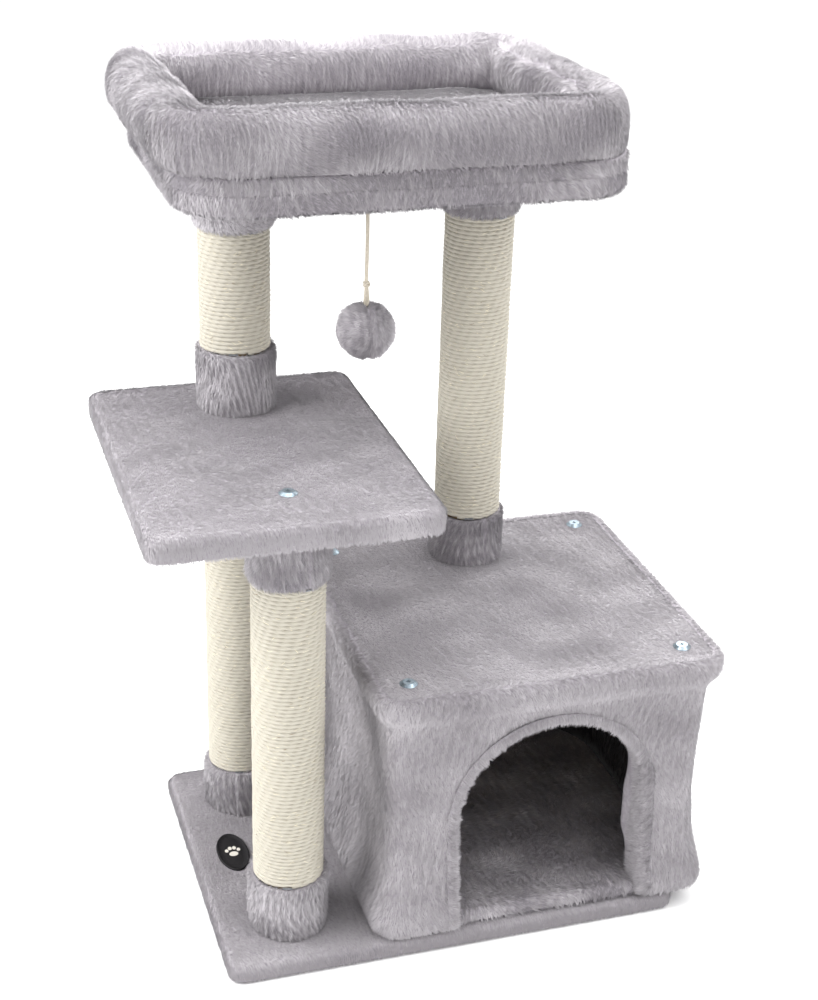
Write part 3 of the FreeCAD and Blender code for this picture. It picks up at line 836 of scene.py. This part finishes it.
# house
houseLook = {
    "grow": 1.5 * mm,         # cloth eased out over the panels
    "corner": 26 * mm,
    "waistCorner": 20 * mm,
    "fold": 1.1 * mm,         # soft upright folds
    "seamIn": 10 * mm,        # roof seam, in from the edge
    "skin": 0.6 * mm,
    # height above the floor and how far the wall is drawn in there, in mm
    "profile": ((20, 4.5), (24, 1.5), (32, 0), (42, 1.5), (60, 6.5), (85, 11.5), (135, 15), (183, 14.5),
                (235, 12.5), (258, 11.5), (267, 9), (274, 4), (280, 0.8), (287, 0), (300, 0)),
}
houseCentre = (houseLow[:2] + houseHigh[:2]) / 2 + houseLook["grow"]
houseHalf = (houseHigh[0] - houseLow[0]) / 2 + houseLook["grow"]
floorLow, floorHigh = boxOf("house_floor_cover")
roofLow = boxOf("house_roof_board")[0]
roofTop = boxOf("house_roof_panel")[1][2]
bindingLow, bindingHigh = boxOf("house_door_binding")
liningLow, liningHigh = boxOf("house_lining")
profileHeights, profileInsets = (np.array(column) * mm for column in zip(*houseLook["profile"]))
skin = houseLook["skin"]


def wallDraw(z):
    return np.interp(z, profileHeights, profileInsets)


def wallRing(z, inset):
    drawn = float(wallDraw(z))
    tight, wide = houseLook["waistCorner"], houseLook["corner"]
    corner = wide - (wide - tight) * min(1, drawn / (14 * mm))
    half = houseHalf - drawn - inset
    return roundedRing(houseCentre, half, half, max(corner - inset, 4 * mm), z, perCorner=8, perSide=44)


doorLook = {
    "band": 11 * mm,          # width of the binding on the wall
    "shift": 5 * mm,          # worn a little wide on the open side
    "widen": 3 * mm,
    "reveal": 27 * mm,        # how far the facing runs back
    "turnIn": 14 * mm,        # how far the right facing leans into the opening
    # its share of that by height, from the floor to where the arch springs
    "leanIn": ((-0.2, 0.1, 0.35, 0.5, 1.0, 1.5), (0.3, 0.55, 0.6, 1, 0.9, 0.1)),
    "proud": 2.4 * mm,
}
doorX = (bindingLow[0] + bindingHigh[0]) / 2 + doorLook["shift"]
doorOuter = (bindingHigh[0] - bindingLow[0]) / 2 + doorLook["widen"]
doorHalf = doorOuter - doorLook["band"]
doorSpring = bindingHigh[2] - doorOuter + doorLook["widen"]


def archPoints(half, bottom):
    # the doorway's outline from the left foot over the crown to the right foot
    places = []
    for share in np.linspace(0, 1, 16)[:-1]:
        places.append((doorX - half, bottom + (doorSpring - bottom) * share))
    for angle in np.linspace(math.pi, 0, 40):
        places.append((doorX + half * math.cos(angle), doorSpring + half * math.sin(angle)))
    for share in np.linspace(1, 0, 16)[1:]:
        places.append((doorX + half, bottom + (doorSpring - bottom) * share))
    return places


def applyModifiers(piece):
    bpy.context.view_layer.update()
    held = piece.evaluated_get(bpy.context.evaluated_depsgraph_get())
    mesh = bpy.data.meshes.new_from_object(held)
    piece.modifiers.clear()
    piece.data = mesh


def subdivide(piece):
    finer = piece.modifiers.new("finer", "SUBSURF")
    finer.levels = finer.render_levels = 1
    applyModifiers(piece)


def doorDistance(points):
    # distance outside the doorway's arch line, in the plane of the front wall
    x = np.abs(points[:, 0] - doorX)
    z = points[:, 2] - doorSpring
    return np.where(z < 0, x, np.hypot(x, z))


def onFront(points):
    return points[:, 1] < houseCentre[1] - 60 * mm


def cutDoor(piece, half):
    # opens the doorway and draws the cut edge on to the arch line
    points = readPoints(piece.data)
    within = onFront(points) & (doorDistance(points) < half)
    form = bmesh.new()
    form.from_mesh(piece.data)
    form.verts.ensure_lookup_table()
    gone = [face for face in form.faces if all(within[vert.index] for vert in face.verts)]
    bmesh.ops.delete(form, geom=gone, context="FACES")
    form.to_mesh(piece.data)
    form.free()
    points = readPoints(piece.data)
    distance = doorDistance(points)
    moved = onFront(points) & (distance < half)
    above = np.maximum(points[:, 2] - doorSpring, 0)
    way = unit(np.stack([points[:, 0] - doorX, above], 1))
    points[moved, 0] += way[moved, 0] * (half - distance[moved])
    points[moved, 2] += way[moved, 1] * (half - distance[moved])
    writePoints(piece.data, points)


def thicken(piece, thickness):
    # gives a single surface its cloth thickness, inwards
    solid = piece.modifiers.new("cloth", "SOLIDIFY")
    solid.thickness = thickness
    solid.offset = -1
    applyModifiers(piece)


wallRings = []
# up the outside and over the roof's edge to the seam
for z in houseLow[2] + np.array((0.6, 2.0, 4.0, 7.0, 12.0, 17.0)) * mm:
    wallRings.append(wallRing(z, skin))
for z in np.linspace(houseLow[2] + 24 * mm, roofLow[2] - 30 * mm, 17):
    wallRings.append(wallRing(z, skin))
for z in roofTop - np.array((40, 36, 32, 28.5, 25.5, 22.5, 19.5, 16)) * mm:
    wallRings.append(wallRing(z, skin))
edge = 7.5 * mm
for share in np.linspace(0, 0.94, 7):
    angle = share * math.pi / 2
    wallRings.append(wallRing(roofTop - skin - edge * (1 - math.sin(angle)),
                              skin + edge * (1 - math.cos(angle))))
wallRings.append(wallRing(roofTop - skin, houseLook["seamIn"] - 0.5 * mm))
wallRings.append(wallRing(roofTop - 1.0 * mm, houseLook["seamIn"] + 1.6 * mm))
wallRings.append(wallRing(roofTop - 2.6 * mm, houseLook["seamIn"] + 5 * mm))
wallMesh = loft(wallRings)
points = readPoints(wallMesh)
side = np.clip((points[:, 2] - houseLow[2]) / (30 * mm), 0, 1)
side *= np.clip((roofLow[2] - points[:, 2]) / (30 * mm), 0, 1)
fromCentre = points[:, :2] - houseCentre
outward = np.where(np.abs(fromCentre) > np.abs(fromCentre).max(1, keepdims=True) - 15 * mm,
                   np.sign(fromCentre), 0)
folds = houseLook["fold"] * side * ripple(points * (1, 1, 0.18), 0.09, 21)
points[:, :2] += unit(outward) * folds[:, None]
writePoints(wallMesh, points)
faceOut(wallMesh, (*houseCentre, 0))
houseWalls = addPiece("houseWalls", wallMesh, [plushGround])
cutDoor(houseWalls, doorHalf + 3 * mm)
thicken(houseWalls, 1.8 * mm)
standFor(houseWalls, "house_wall_cloth")


def outerWall(points, normals):
    outside = np.sum(normals[:, :2] * (points[:, :2] - houseCentre), axis=1) > -0.002
    onTop = points[:, 2] > roofTop - 5 * mm
    front = points[:, 1] < houseLow[1] + 25 * mm
    clear = ~(front & (doorDistance(points) < doorOuter - 0.6 * mm))
    reach = np.abs(points[:, :2] - houseCentre).max(1)
    return (outside | onTop) & clear & (reach > houseHalf - 26 * mm)


growPile("houseWallPile", houseWalls, wallNap, 200, keep=outerWall, **dict(
    sidePile, streak=0.5, grain=0.22, length=6.0 * mm, uneven=0.7))

panelRings = []
panelHalf = [houseHalf - houseLook["seamIn"] - 1.2 * mm] * 2
panelCorner = 13 * mm
panelTop = roofTop - skin
for inset, depth in ((0, 1.6 * mm), (0.2 * mm, 0.6 * mm), (1.4 * mm, 0.1 * mm)):
    panelRings.append(insetRing(houseCentre, panelHalf, panelCorner, inset, panelTop - depth))
for share in np.linspace(0.98, 0.06, 14):
    panelRings.append(shareRing(houseCentre, panelHalf, panelCorner, share, panelTop))
panelMesh = loft(panelRings, capEnd=True)
points = readPoints(panelMesh)
points[:, 2] -= 0.5 * mm * (0.5 + 0.5 * ripple(points, 0.14, 31)) * (points[:, 2] > panelTop - 0.1 * mm)
writePoints(panelMesh, points)
roofPanel = plushPiece("houseRoofPanel", panelMesh, "house_roof_panel")
roofSpots = [footOf("tall_post_bottom_collar")]
for place in ("front_left", "back_left", "front_right", "back_right"):
    roofSpots.append(screwSpot(footOf("house_batten_" + place)))
# painted light: the roof's pile shifted lighter
growPile("houseRoofPile", roofPanel, flatNap, 210, tint=0.9, keep=clearOf(roofSpots),
         **dict(flatPile, drift=0.9, patch=70 * mm))


# doorway binding: a folded band of plush that laps the wall and runs back to the lining
def bindingRings():
    rings = []
    band, proud, reveal = doorLook["band"], doorLook["proud"], doorLook["reveal"]
    for x, z in archPoints(doorHalf, floorHigh[2] - 15 * mm):
        way = np.array([math.copysign(1, x - doorX), 0.0, 0.0])
        if z > doorSpring:
            way = unit(np.array([x - doorX, 0.0, z - doorSpring]))
        front = houseCentre[1] - houseHalf + float(wallDraw(z))
        # the facing leans in only on the right, most at knee height
        height = (z - floorHigh[2]) / (doorSpring - floorHigh[2])
        lean = doorLook["turnIn"] * np.interp(height, *doorLook["leanIn"])
        lean *= 1 if x > doorX else 0
        back = reveal if z > floorHigh[2] else 8 * mm
        section = ((band + 0.4 * mm, 0.2 * mm), (band, -proud * 0.8), (band - 3 * mm, -proud),
                   (4 * mm, -proud), (0.8 * mm, -proud * 0.6), (-0.6 * mm - lean * 0.15, back * 0.12),
                   (-0.8 * mm - lean * 0.55, back * 0.5), (-lean, back * 0.95),
                   (2.2 * mm - lean, back * 1.05), (3.2 * mm - lean * 0.6, back * 0.6),
                   (3.6 * mm, 5 * mm), (4.0 * mm, 1.0 * mm))
        rings.append(np.array([np.array([x, front + y, z]) + way * offset for offset, y in section]))
    return rings


doorBinding = addPiece("doorBinding", loft(bindingRings(), capStart=True, capEnd=True), [plushGround])
faceOut(doorBinding.data)
subdivide(doorBinding)
standFor(doorBinding, "house_door_binding")


def bindingNap(points, normals):
    # combed in towards the opening, and back along the jambs
    x = points[:, 0] - doorX
    z = np.maximum(points[:, 2] - doorSpring, 0)
    inward = -unit(np.stack([x, np.zeros(len(x)), z], 1))
    return inward + np.array([0, 0.5, -0.25])


def bindingKeep(points, normals):
    shown = (normals[:, 1] < -0.2) | (doorDistance(points) < doorHalf + 1.5 * mm)
    return (doorDistance(points) < doorOuter) & (points[:, 1] < liningLow[1] + 2 * mm) & shown


growPile("doorBindingPile", doorBinding, bindingNap, 220, keep=bindingKeep, lift=30,
         length=6.0 * mm, spacing=1.15 * mm, width=0.8 * mm, streak=0.4, drift=0.4)

# lining: a curtain of cloth inside the battens, painted dark for the shade inside
liningHalf = (liningHigh[0] - liningLow[0]) / 2
liningRings = []
for z in np.linspace(liningLow[2], liningHigh[2], 12):
    half = liningHalf - 0.2 * mm
    liningRings.append(roundedRing(houseCentre, half, half, 90 * mm, z, 12, 16))
liningMesh = loft(liningRings)
points = readPoints(liningMesh)
hang = np.sin(np.clip((points[:, 2] - liningLow[2]) / (liningHigh[2] - liningLow[2]), 0, 1) * math.pi)
toMiddle = -unit(points[:, :2] - houseCentre)
folds = np.clip(ripple(points * (1, 1, 0.15), 0.08, 33), 0, 1) * 3.5 * mm * hang
points[:, :2] += toMiddle * folds[:, None]
writePoints(liningMesh, points)
faceOut(liningMesh, (*houseCentre, 0))
lining = addPiece("houseLining", liningMesh, [liningShadeTone])
cutDoor(lining, doorHalf + 3.2 * mm)
thicken(lining, 1.1 * mm)
standFor(lining, "house_lining")


def liningKeep(points, normals):
    facingIn = np.sum(normals[:, :2] * (points[:, :2] - houseCentre), axis=1) < 0
    return facingIn & (points[:, 1] > houseCentre[1] - liningHalf + 20 * mm)


# its pile is painted dark too, for the shade inside the house
growPile("houseLiningPile", lining, wallNap, 230, keep=liningKeep, spacing=2.6 * mm,
         width=1.7 * mm, length=8 * mm, lift=16, tones=[liningShadeTone])

floorCover = plushPiece("houseFloorCover", coverMesh(floorLow, floorHigh, 18 * mm), "house_floor_cover")
# painted shade: the pile on the floor inside the house shifted darker
growPile("houseFloorPile", floorCover, flatNap, 240, spacing=1.7 * mm, width=1.2 * mm,
         length=7 * mm, lift=20, drift=2.2, uneven=1.5, swirl=60, tint=-0.8,
         keep=lambda p, n: n[:, 2] > -0.3)
print("house covered")

# bed
bedLook = {
    "corner": 62 * mm,
    "innerCorner": 10 * mm,     # the roll's inside corners are mitred, so nearly sharp
    "slack": 3.5 * mm,          # drawn this much smaller before it is stuffed
    "crest": 2.0 * mm,          # the front of the roll stands higher than the back
    "pressure": 4.0,
    "stretch": 15,              # stiffness of the cloth along itself
    "bend": 0.5,
    "voxel": 6 * mm,
    "cap": 7 * mm,              # furthest that stuffing moves the cloth
    "frames": 20,
    "crease": 1.2 * mm,         # depth of the mitred seams
    "bulge": 0.4 * mm,          # how far the bands swell
}
bolsterLow, bolsterHigh = boxOf("bed_bolster")
skirtLow, skirtHigh = boxOf("bed_skirt")
bedLow, bedHigh = boxOf("bed_board_cover")
padTop = boxOf("bed_floor_pad")[1][2]
bedCentre = (bedLow[:2] + bedHigh[:2]) / 2
bedHalf = (bedHigh - bedLow) / 2
rollCentre = (bolsterLow[:2] + bolsterHigh[:2]) / 2
rollHalf = (bolsterHigh - bolsterLow) / 2
rollWidth = 60 * mm
bedSteps = {"perCorner": 12, "perSide": 26}


def bandMesh(bottom, top, closeBelow):
    # a plush band that swells between its seams
    rings = []
    corner = bedLook["corner"]
    if closeBelow:
        for share in np.linspace(0.1, 0.94, 10):
            rings.append(shareRing(bedCentre, bedHalf, corner, share, bottom, **bedSteps))
    for share in np.linspace(0, 1, 11):
        inset = coverLook["skin"] + 0.6 * mm + bedLook["bulge"] * (1 - math.sin(math.pi * share))
        if closeBelow:
            inset += 3.5 * mm * max(0, 1 - share / 0.25) ** 2
        z = bottom + (top - bottom) * share
        rings.append(insetRing(bedCentre, bedHalf, corner, inset, z, **bedSteps))
    for z in [top] if closeBelow else [top, bottom]:
        rings.append(insetRing(bedCentre, bedHalf, corner, 12 * mm, z, **bedSteps))
    mesh = loft(rings, closed=not closeBelow, capStart=closeBelow)
    faceOut(mesh, (*bedCentre, 0))
    return mesh


bedBand = plushPiece("bedBoardCover", bandMesh(bedLow[2], bedHigh[2], True), "bed_board_cover")
bedSkirt = plushPiece("bedSkirt", bandMesh(skirtLow[2], skirtHigh[2], False), "bed_skirt")
# the pile is parted where the cord loop swings
bandClear = clearOf([footOf("upper_post_top_collar"), footOf("tall_post_top_collar"),
                     (toySpot[0], toySpot[1], 18 * mm)], side=-1)


def bandKeep(points, normals):
    away = np.sum(normals[:, :2] * (points[:, :2] - bedCentre), axis=1) > 0
    return bandClear(points, normals) & (away | (normals[:, 2] < -0.5)) & (normals[:, 2] < 0.7)


def bandNap(points, normals):
    level = np.abs(normals[:, 2])
    return np.stack([np.full(len(points), 0.1), -0.5 * level, np.full(len(points), -1.0)], 1)


# painted shade: the bed's bands shifted darker
bandPile = dict(sidePile, length=6.0 * mm, streak=1.0, drift=1.2, swirl=34, tint=-1.3)
growPile("bedBoardCoverPile", bedBand, bandNap, 310, keep=bandKeep,
         **dict(bandPile, spacing=1.55 * mm))
growPile("bedSkirtPile", bedSkirt, bandNap, 320, keep=bandKeep, **bandPile)


def puffUp(piece, look, held):
    # stuffs a closed form with air so the cloth rounds out; held says where seams hold it down
    remesh = piece.modifiers.new("even", "REMESH")
    remesh.mode = "VOXEL"
    remesh.voxel_size = look["voxel"]
    applyModifiers(piece)
    start = readPoints(piece.data)
    pins = piece.vertex_groups.new(name="seams")
    pins.add(np.nonzero(held(start))[0].tolist(), 1.0, "REPLACE")
    cloth = piece.modifiers.new("cloth", "CLOTH")
    cloth.settings.effector_weights.gravity = 0
    for key, value in (("quality", 5), ("mass", 0.3), ("use_pressure", True),
                       ("uniform_pressure_force", look["pressure"]), ("tension_stiffness", look["stretch"]),
                       ("compression_stiffness", look["stretch"]), ("bending_stiffness", look["bend"]),
                       ("vertex_group_mass", "seams")):
        setattr(cloth.settings, key, value)
    cloth.collision_settings.use_collision = False
    cloth.point_cache.frame_start = 1
    cloth.point_cache.frame_end = look["frames"]
    for step in range(1, look["frames"] + 1):
        scene.frame_set(step)
    applyModifiers(piece)
    scene.frame_set(1)
    shift = readPoints(piece.data) - start
    reach = np.linalg.norm(shift, axis=1, keepdims=True)
    writePoints(piece.data, start + shift * np.minimum(1, look["cap"] / np.maximum(reach, 1e-9)))


# the roll's section, carried round from the seam on the skirt, out, over the crest and down inside
slack = bedLook["slack"]
seamRing = insetRing(bedCentre, bedHalf, bedLook["corner"], 4 * mm, 0, **bedSteps)
bulgeRing = roundedRing(rollCentre, rollHalf[0] - 1 * mm, rollHalf[1] - slack, 80 * mm, 0, **bedSteps)
innerRing = roundedRing((rollCentre[0] + 5 * mm, rollCentre[1]), rollHalf[0] - rollWidth + 2 * mm + slack,
                        rollHalf[1] - rollWidth + slack, bedLook["innerCorner"], 0, **bedSteps)
crestRing = (bulgeRing + innerRing) / 2
rollBottom = bolsterLow[2] + 0.5 * mm
rollTop = bolsterHigh[2] - slack + 0.5 * mm
rollMiddle = rollBottom + 0.42 * (rollTop - rollBottom)
frontness = np.clip((rollCentre[1] - bulgeRing[:, 1]) / rollHalf[1], -1, 1) * bedLook["crest"]


def arcRings(fromRing, toRing, toZ, bend):
    # a quarter turn from the side of the roll to its crest or foot
    rings = []
    for angle in np.linspace(0, math.pi / 2, 7)[:-1]:
        ring = toRing + (fromRing - toRing) * math.cos(angle) ** bend
        ring[:, 2] = rollMiddle + (toZ - rollMiddle) * math.sin(angle) ** bend
        rings.append(ring)
    return rings


innerFoot = innerRing + (crestRing - innerRing) * 0.35
rollRings = (arcRings(bulgeRing, seamRing, rollBottom, 0.75)[::-1]
             + arcRings(bulgeRing, crestRing, rollTop, 0.9)[1:]
             + arcRings(innerRing, crestRing, rollTop, 0.9)[::-1]
             + arcRings(innerRing, innerFoot, rollBottom, 0.75)[1:])
innerFoot[:, 2] = rollBottom
rollRings.append(innerFoot)
for ring in rollRings:
    ring[:, 2] += frontness * np.clip((ring[:, 2] - rollMiddle) / (rollTop - rollMiddle), 0, 1)
bolster = addPiece("bedBolster", loft(rollRings, closed=True), [plushGround])
faceOut(bolster.data, (*bedCentre, 0))
puffUp(bolster, bedLook, lambda p: p[:, 2] < rollBottom + 5 * mm)
points, normals = readPoints(bolster.data), readNormals(bolster.data)
# mitred seams pinch the inside corners
inner = innerRing[:, :2]
for sx in (-1, 1):
    for sy in (-1, 1):
        corner = inner.mean(0) + np.array([sx, sy]) * (inner.max(0) - inner.min(0)) / 2
        offset = points[:, :2] - corner
        across = np.abs(offset[:, 0] * sy - offset[:, 1] * sx) / math.sqrt(2)
        outAlong = (offset[:, 0] * sx + offset[:, 1] * sy) / math.sqrt(2)
        pinch = np.exp(-(across / (6 * mm)) ** 2) * np.clip(1 - outAlong / (34 * mm), 0, 1)
        pinch *= outAlong > -20 * mm
        points -= normals * (pinch * bedLook["crease"])[:, None]
points += normals * (1.3 * mm * ripple(points * (1, 1, 0.5), 0.07, 51))[:, None]
points[:, 2] = np.maximum(points[:, 2], bolsterLow[2] + 0.3 * mm)
writePoints(bolster.data, points)
subdivide(bolster)
standFor(bolster, "bed_bolster")


def rollNap(points, normals):
    core = rollHalf[:2] - 80 * mm
    offset = points[:, :2] - rollCentre
    out = unit(offset - np.clip(offset, -core, core))
    return np.column_stack([out * 0.8, np.full(len(points), -1.0)]) + np.array([0.12, 0, 0])


# painted light and shade: the roll's pile shifted darker, with its upper side painted lighter as if lit
# from above
growPile("bedBolsterPile", bolster, rollNap, 330, swirl=34, drift=1.0, tint=-0.9, bloom=1.0,
         spacing=1.25 * mm, width=0.85 * mm,
         keep=lambda p, n: ~((p[:, 2] < bolsterLow[2] + 3 * mm) & (n[:, 2] < -0.7)),
         **dict(sidePile, length=5.4 * mm, uneven=0.7))

# floor pad: a crowned cushion inside the roll
padCentre = (rollCentre[0] + 5 * mm, rollCentre[1])
padReach = rollHalf[:2] - rollWidth + 12 * mm
padFloor = skirtLow[2] + 6 * mm
padEdge = padTop - 6 * mm
padRings = []
for share in np.linspace(0, 1, 6):
    inset = 5 * mm * (1 - math.sin(share * math.pi))
    padRings.append(roundedRing(padCentre, *padReach - inset, 24 * mm,
                                padFloor + (padEdge - padFloor) * share, 8, 20))
for share in np.linspace(0.94, 0.06, 14):
    padRings.append(roundedRing(padCentre, *padReach * share, max(24 * mm * share, 2 * mm),
                                padEdge + (padTop - 1 * mm - padEdge) * (1 - share ** 2.2), 8, 20))
floorPad = addPiece("bedFloorPad", loft(padRings, capStart=True, capEnd=True), [plushGround])
puffUp(floorPad, dict(bedLook, cap=2.5 * mm, voxel=5 * mm, pressure=1.5),
       lambda p: p[:, 2] < padFloor + 4 * mm)
floorPad.data.shade_smooth()
standFor(floorPad, "bed_floor_pad")
# painted light: the pad, in the roll's shade, shifted lighter
growPile("bedFloorPadPile", floorPad, flatNap, 340, tint=1.5,
         keep=lambda p, n: (n[:, 2] > 0.2) & (p[:, 2] > skirtHigh[2]), **flatPile)
print("bed stuffed")

# patch
patchLook = {
    "rim": 1.6 * mm,
    # each pad's place and half sizes, before it is drawn 1.15 times larger
    "paw": ((0, -4.5, 4.2, 3.4), (-5.6, 1.2, 1.7, 2.3), (-2.0, 4.4, 1.8, 2.5), (2.0, 4.4, 1.8, 2.5),
            (5.6, 1.2, 1.7, 2.3)),
}
patchRings = []
halfA = (labelHigh[0] - labelLow[0]) / 2
halfB = (labelHigh[1] - labelLow[1]) / 2
ringAngles = np.linspace(0, 2 * math.pi, 97)[:-1]
patchBase = labelLow[2] + 0.6 * mm
for inset, z in ((0.3 * mm, -0.6 * mm), (0, 0.4 * mm), (0.5 * mm, 1.3 * mm), (patchLook["rim"], 1.5 * mm),
                 (patchLook["rim"] + 0.6 * mm, 0.9 * mm), (8 * mm, 1.1 * mm), (14 * mm, 1.2 * mm)):
    overlock = 0.18 * mm * np.sin(ringAngles * 60) if 0 < inset < 2 * mm else 0
    patchRings.append(np.column_stack([labelCentre[0] + (halfA - inset) * np.cos(ringAngles),
                                       labelCentre[1] + (halfB - inset) * np.sin(ringAngles),
                                       np.full(96, patchBase + z) + overlock]))
patch = addPiece("ovalPatch", loft(patchRings, capEnd=True), [satin])
standFor(patch, "oval_label")
pawMesh = bpy.data.meshes.new("pawMotif")
form = bmesh.new()
for x, y, a, b in patchLook["paw"]:
    disc = bmesh.ops.create_circle(form, cap_ends=True, segments=28, radius=1.0)
    for vert in disc["verts"]:
        vert.co = Vector((labelCentre[0] + (x + vert.co.x * a) * mm * 1.15,
                          labelCentre[1] + (y + vert.co.y * b) * mm * 1.15, patchBase + 1.45 * mm))
raised = bmesh.ops.extrude_face_region(form, geom=form.faces[:])
for item in raised["geom"]:
    if isinstance(item, bmesh.types.BMVert):
        item.co.z += 0.35 * mm
bmesh.ops.recalc_face_normals(form, faces=form.faces)
form.to_mesh(pawMesh)
form.free()
addPiece("pawMotif", pawMesh, [thread], smooth=False)
print("patch sewn on")

# finishes for the CAD pieces that stay
nodeFinish = {
    "countersunk_screws": zinc, "cup_washers": zinc, "rope_staples": steel, "toy_staple": steel,
    "toy_cord_loop": braid, "base_post_bolts": steel, "bed_bolts": steel, "tall_post_bolt": steel,
    "platform_post_stud": steel, "bolt_washers": zinc, "house_base_screws": zinc,
    "house_batten_screws": zinc,
}
for nodeName, node in nodes.items():
    if nodeName.endswith("_tube"):
        nodeFinish[nodeName] = paperTube
    elif nodeName.endswith(("_end_plugs", "_board")):
        nodeFinish[nodeName] = chipBoard
    elif nodeName.endswith("_backing"):
        nodeFinish[nodeName] = felt
    elif nodeName.startswith("house_batten_") and nodeName != "house_batten_screws":
        nodeFinish[nodeName] = pine
for nodeName, finish in nodeFinish.items():
    slots = nodes[nodeName].data.materials
    for index in range(len(slots)):
        slots[index] = finish
print("finishes set")

# floor and light
floorMesh = bpy.data.meshes.new("studioFloor")
floorMesh.from_pydata([(-6, -6, 0), (6, -6, 0), (6, 6, 0), (-6, 6, 0)], [], [(0, 1, 2, 3)])
studioFloor = bpy.data.objects.new("studioFloor", floorMesh)
scene.collection.objects.link(studioFloor)
studioFloor.location.z = cadBox[0][2] - 0.4 * mm
floorMesh.materials.append(startMaterial("backdropPaper", {
    "Base Color": "#FAFAFA", "Roughness": 0.9, "Specular IOR Level": 0.1})[0])

lightLook = {
    "sky": 1.1,
    "aim": (0, 0, 0.4),
    "key": {"place": (-1.8, 0.0, 1.5), "size": 1.4, "power": 44},
    "top": {"place": (0.0, 0.2, 1.9), "size": 1.4, "power": 29},
    "fill": {"place": (1.3, -1.1, 2.0), "size": 1.2, "power": 18},
    "back": {"place": (0.9, 0.9, 1.2), "size": 0.8, "power": 8},
}
world = bpy.data.worlds.new("studio")
world.use_nodes = True
background = world.node_tree.nodes["Background"]
background.inputs["Color"].default_value = (1.0, 1.0, 1.0, 1.0)
background.inputs["Strength"].default_value = lightLook["sky"]
scene.world = world
for name in ("key", "top", "fill", "back"):
    look = lightLook[name]
    lamp = bpy.data.lights.new(name, "AREA")
    lamp.size = look["size"]
    lamp.energy = look["power"]
    lampObject = bpy.data.objects.new(name, lamp)
    scene.collection.objects.link(lampObject)
    lampObject.location = look["place"]
    beam = Vector(lightLook["aim"]) - lampObject.location
    lampObject.rotation_euler = beam.to_track_quat("-Z", "Y").to_euler()
scene.view_settings.view_transform = "Standard"
print("studio lit")
